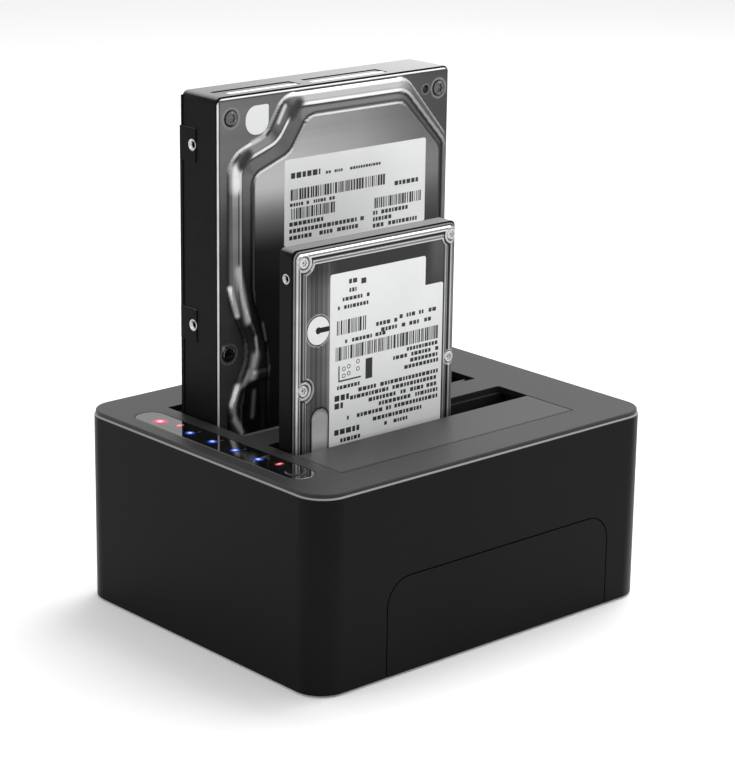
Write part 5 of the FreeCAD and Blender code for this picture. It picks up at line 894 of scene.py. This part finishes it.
def small_cover_shape(points):
    u, v = points[:, 0], points[:, 1]
    left, right = SMALL_EDGE, SMALL_WIDTH - SMALL_EDGE
    corners = [(a, b, SMALL_CORNER) for a, b in ((left, SMALL_LOW), (right, SMALL_LOW), (right, SMALL_TOP),
                                                 (left, SMALL_TOP))]
    edge, side = inside(points, rounded(corners))
    ring = nearest_to(points, ROUND_SCREWS)
    well = nearest_to(points, SMALL_SCREWS)
    groove, inner, field = [np.minimum(edge - from_edge, ring - from_screw)
                            for from_edge, from_screw in (GROOVE, INNER_RIDGE, FIELD)]
    pocket = inside(points, rounded(POCKET))[0]
    seal = nearest_to(points, (RING_SEAL,))

    # Depth: the rim, a groove inside it, the inner ridge, the sunk field, the pocket and the screws' wells
    depth = SMALL_STEP * (1 - smooth((edge - 0.8) / 0.5))
    depth = depth + FIELD_DROP * (smooth(groove / 0.35) - smooth(inner / 0.3 + 0.3))
    depth = np.clip(depth + FIELD_DROP * smooth(field / 0.4), 0, SMALL_STEP)
    depth = depth + POCKET_DROP * smooth(pocket / 0.6)
    depth = np.maximum(depth, SMALL_STEP * smooth((WELL_RADIUS - well) / 0.35))

    # Painted shading of the rim and the ridge, with a painted highlight along each bend
    ridge = shade_by_side(side, 112, 128, 132, 116, 96, 70)
    painted_shading = PaintedShading(points, np.full(len(points), 70.0))
    painted_shading.lay(smooth((edge - 0.9) / 0.2), ridge)
    painted_shading.lay(band(edge, 0.95, 1.3), 232)
    painted_shading.lay(band(groove, -0.35, -0.02), shade_by_side(side, 205, 225, 235, 220, 205, 110))
    painted_shading.lay(smooth(groove / 0.2), 26)
    painted_shading.lay(smooth(inner / 0.2), ridge * 0.9)
    painted_shading.lay(band(inner, 0.0, 0.22), shade_by_side(side, 180, 225, 240, 215, 180, 110))
    painted_shading.lay(band(field, -0.3, 0.0), shade_by_side(side, 200, 225, 240, 225, 205, 110))

    # The field: painted reflections in blurred upright stripes on the left, painted shade darker behind the
    # label
    reflected_stripes = 12 * np.sin(u * 3.1) + 9 * np.sin(u * 7.3 + 1.0)
    striped = np.interp(u, (4, 7, 9, 13, 15.5), (112, 84, 70, 92, 120)) + reflected_stripes
    striped = striped * np.interp(v, (86, 92), (1.0, 0.62))
    plain = np.interp(v, (88, 94), (66, 44))
    middle = np.interp(u, (15.5, 18, 60, 66), (70, plain.min(), 46, 62))
    field_shade = np.where(u < 15.3, striped, np.minimum(middle, plain + 10))
    painted_shading.lay(smooth(field / 0.25), field_shade * np.interp(v, (33, 50), (1.25, 1.0)))
    painted_shading.lay(band(field, 0.02, 0.45), 24)
    corner = smooth((v - 76) / 10) * smooth((u - 56) / 5)
    painted_shading.lay(corner * smooth(field / 0.4), np.interp(v, (78, 92), (58, 82)))

    # Painted highlights and painted shade of the pocket, the wells, the seal's surround and the sheet's edge
    painted_shading.lay(smooth(pocket / 0.4), np.interp(v, (33, 46), (250, 200)))
    painted_shading.lay(band(pocket, -0.75, -0.1), 20)
    painted_shading.lay(band(pocket, -0.1, 0.3), 205)
    painted_shading.lay(band(well, WELL_RADIUS - 0.1, WELL_RADIUS + 0.35), 200)
    painted_shading.lay(smooth((WELL_RADIUS - 0.15 - well) / 0.25), 30)
    painted_shading.lay(band(seal, RING_RADIUS - 0.05, RING_RADIUS + 0.4), 14)
    painted_shading.lay(band(seal, RING_RADIUS + 0.45, RING_RADIUS + 0.75), 175)
    painted_shading.lay(smooth((RING_RADIUS - seal) / 0.2), 12)
    painted_shading.lay(smooth((0.35 - edge) / 0.15), 150)
    return depth, painted_shading.greys


def make_small_cover():
    right = SMALL_WIDTH - SMALL_EDGE
    turn = SMALL_TOP - 12.0
    columns = steps_between([(SMALL_EDGE, 16.0, 0.2), (16.0, 60.0, 1.5), (60.0, right, 0.22)])
    rows = steps_between([(SMALL_LOW, 16.0, 0.3), (16.0, 33.0, 0.5), (33.0, turn, 0.35),
                          (turn, SMALL_TOP, 0.2)])
    sheet_piece("small_drive_cover", SMALL, columns, rows, SMALL_CORNER, small_cover_shape, SMALL_BACK,
                "drive25_cover", "thin_cover")


# Screws with a six-lobed recess
SCREW_SIDES = 48
SCREW_CHAMFER = 0.25
LOBES = 6
LOBE_SHARE = 0.17
RECESS_SHARE = 0.52


def lobed_screws(name, face, places, radius, seat, head, node, finish):
    vertices = []
    faces = []
    recess = RECESS_SHARE * radius
    top = seat - head
    rings = [(radius, seat, 0), (radius, top + 0.2, 0), (radius - SCREW_CHAMFER, top, 0),
             (recess, top + 0.02, LOBE_SHARE), (0.92 * recess, top + 0.42, LOBE_SHARE),
             (0.3 * recess, top + 0.5, 0)]
    for u, v in places:
        first = len(vertices)
        for ring_radius, depth, lobe in rings:
            for angle in circle(SCREW_SIDES):
                reach = ring_radius * (1 + lobe * math.cos(LOBES * angle))
                vertices.append(face.around(u, v, reach, angle, depth))
        faces += ring_faces(first, len(rings), SCREW_SIDES)
        last = len(vertices) - SCREW_SIDES
        faces.append(tuple(range(last, last + SCREW_SIDES)))
        faces.append(tuple(range(first + SCREW_SIDES - 1, first - 1, -1)))
    piece = new_piece(name, vertices, faces, face.body, "steel", finish, 40.0)
    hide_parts(node)


# Print on the labels: plain bars and dashes, in mm on the drive
PRINT_THICKNESS = 0.02
BAR_WIDTHS = (0.28, 0.28, 0.42, 0.62, 0.9)
BAR_GAPS = (0.26, 0.3, 0.45, 0.6)
LARGE_LABEL_FACE = 0.03
SMALL_LABEL_FACE = 0.23
CORNER_DRAWING = [(18.9, 19.4, 54.3, 59.6), (18.9, 28.5, 54.3, 54.8), (30.5, 33.4, 53.3, 60.1)]
JUMPER_RINGS = ((21.2, 58.4), (23.3, 58.9), (27.2, 59.9), (21.2, 56.1), (23.3, 56.6), (27.2, 57.4))
JUMPER_RING_RADII = (0.75, 0.5)
JUMPER_RING_SIDES = 20


class Print:
    # Plain bars and dashes on a drive's label, each a box of (u low, u high, v low, v high).
    def __init__(self, seed):
        self.draw = random.Random(seed)
        self.boxes = []

    def barcode(self, u0, u1, v0, v1):
        u = u0
        while u < u1 - 0.4:
            width = self.draw.choice(BAR_WIDTHS)
            self.boxes.append((u, min(u + width, u1), v0, v1))
            u += width + self.draw.choice(BAR_GAPS)

    def dashes(self, u0, u1, v, height, gaps=0.12):
        # A row of short plain dashes; now and then one is left out.
        u = u0
        while u < u1 - 0.5:
            width = self.draw.uniform(0.55, 1.25) * height
            if self.draw.random() > gaps:
                self.boxes.append((u, min(u + width, u1), v, v + height))
            u += width + 0.3 * height

    def make(self, name, face, surface):
        measures = [(*box, surface - PRINT_THICKNESS, surface) for box in self.boxes]
        new_piece(name, *blocks(face.point, measures), face.body, "white_label", "ink")


def make_large_print():
    page = Print(35)
    page.dashes(30.0, 42.6, 117.2, 1.9, 0.0)
    page.dashes(45.0, 69.5, 117.0, 0.9)
    page.barcode(29.9, 72.0, 109.9, 113.6)
    page.dashes(29.6, 51.0, 107.9, 1.1)
    page.barcode(30.2, 49.4, 103.5, 107.2)
    page.dashes(75.8, 86.6, 108.9, 1.5, 0.0)
    page.barcode(66.8, 88.0, 102.2, 105.8)
    for row, (end, right_end) in enumerate(((44.5, 82.0), (62.5, 74.5), (60.0, 86.5))):
        page.dashes(29.4, end, 101.3 - 2.3 * row, 1.35, 0.06)
        page.dashes(66.2, right_end, 100.0 - 2.2 * row, 1.35, 0.06)
    page.make("large_label_print", LARGE, LARGE_LABEL_FACE)


def make_small_print():
    page = Print(25)
    page.dashes(23.0, 26.4, 86.2, 1.5, 0.0)
    page.dashes(28.2, 31.0, 85.4, 1.8, 0.0)
    page.dashes(23.2, 26.2, 83.4, 1.3, 0.0)
    page.dashes(20.4, 32.0, 80.8, 1.2)
    page.dashes(18.4, 32.0, 78.2, 1.2)
    page.barcode(18.1, 30.9, 69.9, 74.6)
    page.dashes(34.8, 44.0, 70.2, 1.3)
    page.dashes(37.0, 62.0, 68.0, 1.3)
    page.dashes(45.0, 62.0, 71.0, 1.3)
    page.dashes(21.6, 39.5, 66.8, 1.2)
    page.barcode(17.7, 62.2, 61.4, 65.9)
    page.boxes += CORNER_DRAWING
    page.dashes(18.4, 28.0, 51.8, 1.2, 0.0)
    for start, v in ((48.5, 59.4), (42.5, 57.4), (50.0, 55.4), (47.5, 53.4)):
        page.dashes(start, 62.6, v, 1.25, 0.05)
    for row, (start, v) in enumerate(((27.5, 49.6), (24.0, 47.5), (32.0, 45.3), (36.5, 43.2), (21.0, 41.0))):
        page.dashes(start, 62.6, v, 1.3, 0.06)
    page.dashes(17.4, 23.5, 48.0, 1.9, 0.0)
    page.dashes(17.4, 21.0, 45.4, 1.9, 0.0)
    page.dashes(34.0, 56.0, 38.4, 1.3, 0.1)
    page.dashes(39.0, 50.0, 36.0, 1.2, 0.3)
    page.dashes(17.4, 28.5, 36.6, 1.8, 0.0)
    page.dashes(20.0, 28.5, 33.9, 1.3, 0.1)
    page.make("small_label_print", SMALL, SMALL_LABEL_FACE)


def make_jumper_print():
    # Six small rings inside the label's corner drawing.
    vertices = []
    faces = []
    outer, inner = JUMPER_RING_RADII
    near, far = SMALL_LABEL_FACE, SMALL_LABEL_FACE - PRINT_THICKNESS
    section = ((outer, near), (outer, far), (inner, far), (inner, near))
    for u, v in JUMPER_RINGS:
        first = len(vertices)
        for radius, depth in section:
            for angle in circle(JUMPER_RING_SIDES):
                vertices.append(SMALL.around(u, v, radius, angle, depth))
        faces += ring_faces(first, len(section), JUMPER_RING_SIDES, closed=True)
    new_piece("jumper_print", vertices, faces, SMALL.body, "white_label", "ink")


# Round seal with a hole in its middle and a slot from there to its right edge
SEAL_STEPS = 60
SEAL_DEPTHS = (0.23, 0.35)
SEAL_HOLE = 1.15
SEAL_SLOT = 0.85


def make_ring_seal():
    vertices = []
    for radius in (RING_RADIUS, SEAL_HOLE):
        gap = math.asin(SEAL_SLOT / radius)
        for depth in SEAL_DEPTHS:
            for angle in np.linspace(gap, 2 * math.pi - gap, SEAL_STEPS):
                vertices.append(SMALL.around(*RING_SEAL, radius, angle, depth))
    near, far, hole_near, hole_far = (step * SEAL_STEPS for step in range(4))
    last = SEAL_STEPS - 1
    faces = []
    for k in range(last):
        faces.append((near + k, near + k + 1, hole_near + k + 1, hole_near + k))
        faces.append((far + k, hole_far + k, hole_far + k + 1, far + k + 1))
        faces.append((near + k, far + k, far + k + 1, near + k + 1))
        faces.append((hole_near + k, hole_near + k + 1, hole_far + k + 1, hole_far + k))
    faces.append((near, hole_near, hole_far, far))
    faces.append((near + last, far + last, hole_far + last, hole_near + last))
    piece = new_piece("small_ring_seal", vertices, faces, SMALL.body, "white_label", "white_label")
    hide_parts("drive25_ring_seal")


# Tapped holes in the drives' sides, in mm on the drive
LARGE_HOLES = (28.5, 70.1, 130.1)
SMALL_HOLES = (14.0, 90.6)
HOLE_LININGS = (("large_hole_linings", LARGE, LARGE_WIDTH, LARGE_HOLES, 13.85, 1.75),
                ("small_hole_linings", SMALL, SMALL_WIDTH, SMALL_HOLES, 4.0, 1.5))
LINING_SIDES = 32
LINING_BORE = 0.55


def make_hole_linings():
    # Bare metal shows in the mouths of the tapped holes.
    for name, face, width, holes, depth, radius in HOLE_LININGS:
        bore = LINING_BORE * radius
        section = ((radius + 0.2, 0.12), (radius + 0.15, 0.02), (radius - 0.15, 0.02), (bore, 0.7),
                   (bore, 0.9), (radius, 1.0))
        for side, start, inward in (("left", 0.0, 1), ("right", width, -1)):
            vertices = []
            faces = []
            for v in holes:
                first = len(vertices)
                for ring_radius, inset in section:
                    for angle in circle(LINING_SIDES):
                        vertices.append(face.point(start + inward * inset, v + ring_radius * math.sin(angle),
                                                   depth + ring_radius * math.cos(angle)))
                faces += ring_faces(first, len(section), LINING_SIDES, closed=True)
            piece = new_piece(name + "_" + side, vertices, faces, face.body, "steel", "port_steel", 50.0)
            if inward > 0:
                piece.data.flip_normals()


# Rails and end strips of the 3.5 inch drive, in mm on the drive
PAD_HALF_HEIGHT = 5.5
RAIL_GAP = 0.05
RAIL_INSET = 0.02
RAIL_WIDTH = 8.4
RAIL_FRONT = 18.9
RAIL_BACK = 20.15
UPPER_RAIL_BACK = 19.5
UPPER_RAIL_TOP = 145.6
END_STRIPS = ((9.0, 37.9), (44.0, 75.9))
END_STRIP_HEIGHTS = (146.61, 146.76)
END_STRIP_DEPTHS = (4.7, 7.7)


def make_side_rails():
    # The drive's long sides stand out to the back between its screw pads, a little less above them.
    reach = PAD_HALF_HEIGHT + RAIL_GAP
    stretches = [(low + reach, high - reach, RAIL_BACK) for low, high in zip(LARGE_HOLES, LARGE_HOLES[1:])]
    stretches.append((LARGE_HOLES[-1] + reach, UPPER_RAIL_TOP, UPPER_RAIL_BACK))
    sides = ((RAIL_INSET, RAIL_WIDTH), (LARGE_WIDTH - RAIL_WIDTH, LARGE_WIDTH - RAIL_INSET))
    measures = [(u0, u1, v0, v1, RAIL_FRONT, back) for u0, u1 in sides for v0, v1, back in stretches]
    new_piece("large_side_rails", *blocks(LARGE.point, measures), LARGE.body, "cast_black_paint",
              "cast_black_paint")


def make_end_strips():
    measures = [(*strip, *END_STRIP_HEIGHTS, *END_STRIP_DEPTHS) for strip in END_STRIPS]
    piece = new_piece("large_end_strips", *blocks(LARGE.point, measures), LARGE.body, "white_label",
                      "white_label")
    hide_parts("drive35_end_labels")


# Tick marks beside the blue lamps, in mm from each lamp's middle and from the window's top
TICK_X = (2.4, 3.8)
TICK_Y = (-1.2, -0.8)
TICK_Z = (-0.03, 0.01)


def make_tick_marks():
    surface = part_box("indicator_window")[1][2]
    measures = []
    for x, y, _ in BLUE_LAMPS:
        ends = [(middle + low * MM, middle + high * MM)
                for middle, (low, high) in ((y, TICK_Y), (x, TICK_X), (surface, TICK_Z))]
        measures.append((*ends[0], *ends[1], *ends[2]))
    vertices, faces = blocks(lambda y, x, z: (x, y, z), measures)
    new_piece("window_ticks", vertices, faces, "dock", "window_gloss_black", "tick_print")


# Studio
def area_light(name, place, aim, size, power):
    data = bpy.data.lights.new(name, "AREA")
    data.shape = "SQUARE"
    data.size = size
    data.energy = power
    light = new_object(name, data)
    light.location = place
    light.rotation_euler = (Vector(aim) - Vector(place)).to_track_quat("-Z", "Y").to_euler()


def make_floor():
    mesh = bpy.data.meshes.new("floor")
    half = FLOOR_SIZE / 2
    corners = [(-half, -half, 0), (half, -half, 0), (half, half, 0), (-half, half, 0)]
    mesh.from_pydata(corners, [], [(0, 1, 2, 3)])
    made = Material("floor")
    path = made.add("ShaderNodeLightPath")
    made.feed("Emission Strength", made.count("MULTIPLY", path.outputs["Is Camera Ray"], FLOOR_LIFT))
    made.set(Base_Color=(0.9, 0.9, 0.9, 1), Roughness=0.9, Specular_IOR_Level=0.0)
    made.set(Emission_Color=(1, 1, 1, 1))
    mesh.materials.append(made.material)
    new_object("floor", mesh)


def make_world():
    world = bpy.data.worlds.new("studio")
    bpy.context.scene.world = world
    tree = NodeTree(world)
    background = tree.nodes["Background"]
    background.inputs["Color"].default_value = (1, 1, 1, 1)
    path = tree.add("ShaderNodeLightPath")
    seen = tree.count("MAXIMUM", path.outputs["Is Camera Ray"], path.outputs["Is Glossy Ray"])
    seen = tree.count("MAXIMUM", seen, path.outputs["Is Transmission Ray"])
    tree.put(tree.between(seen, WORLD_FILL, 1.0), background.inputs["Strength"])


def make_lights():
    area_light("top_light", (0.5, 0.12, 1.0), (0, 0, 0.05), 0.7, TOP_LIGHT_POWER)
    area_light("left_light", (-1.0, 0.1, 0.7), (0, 0, 0.08), 0.7, LEFT_LIGHT_POWER)
    area_light("right_light", (0.9, -0.7, 0.6), (0, 0, 0.08), 0.6, RIGHT_LIGHT_POWER)


def make_camera():
    data = bpy.data.cameras.new("camera")
    data.lens = CAMERA_LENS
    data.sensor_width = CAMERA_SENSOR
    data.clip_start = 0.01
    data.clip_end = 50
    camera = new_object("camera", data)
    turn = Matrix(list(zip(CAMERA_RIGHT, CAMERA_UP, CAMERA_BACK))).to_4x4()
    camera.matrix_world = Matrix.Translation(CAMERA_PLACE) @ turn
    bpy.context.scene.camera = camera


soften_edges()
make_large_cover()
make_small_cover()
lobed_screws("large_cover_screws", LARGE, LARGE_SCREWS, LARGE_SCREW_RADIUS, LARGE_STEP + DIMPLE_DROP,
             LARGE_SCREW_HEAD, "drive35_cover_screws", "dark_steel")
lobed_screws("small_cover_screws", SMALL, SMALL_SCREWS, SMALL_SCREW_RADIUS, SMALL_STEP,
             SMALL_SCREW_HEAD, "drive25_cover_screws", "port_steel")
make_large_print()
make_small_print()
make_jumper_print()
make_ring_seal()
make_tick_marks()
make_hole_linings()
make_side_rails()
make_end_strips()
make_floor()
make_world()
make_lights()
make_camera()
bpy.context.scene.view_settings.view_transform = "Standard"
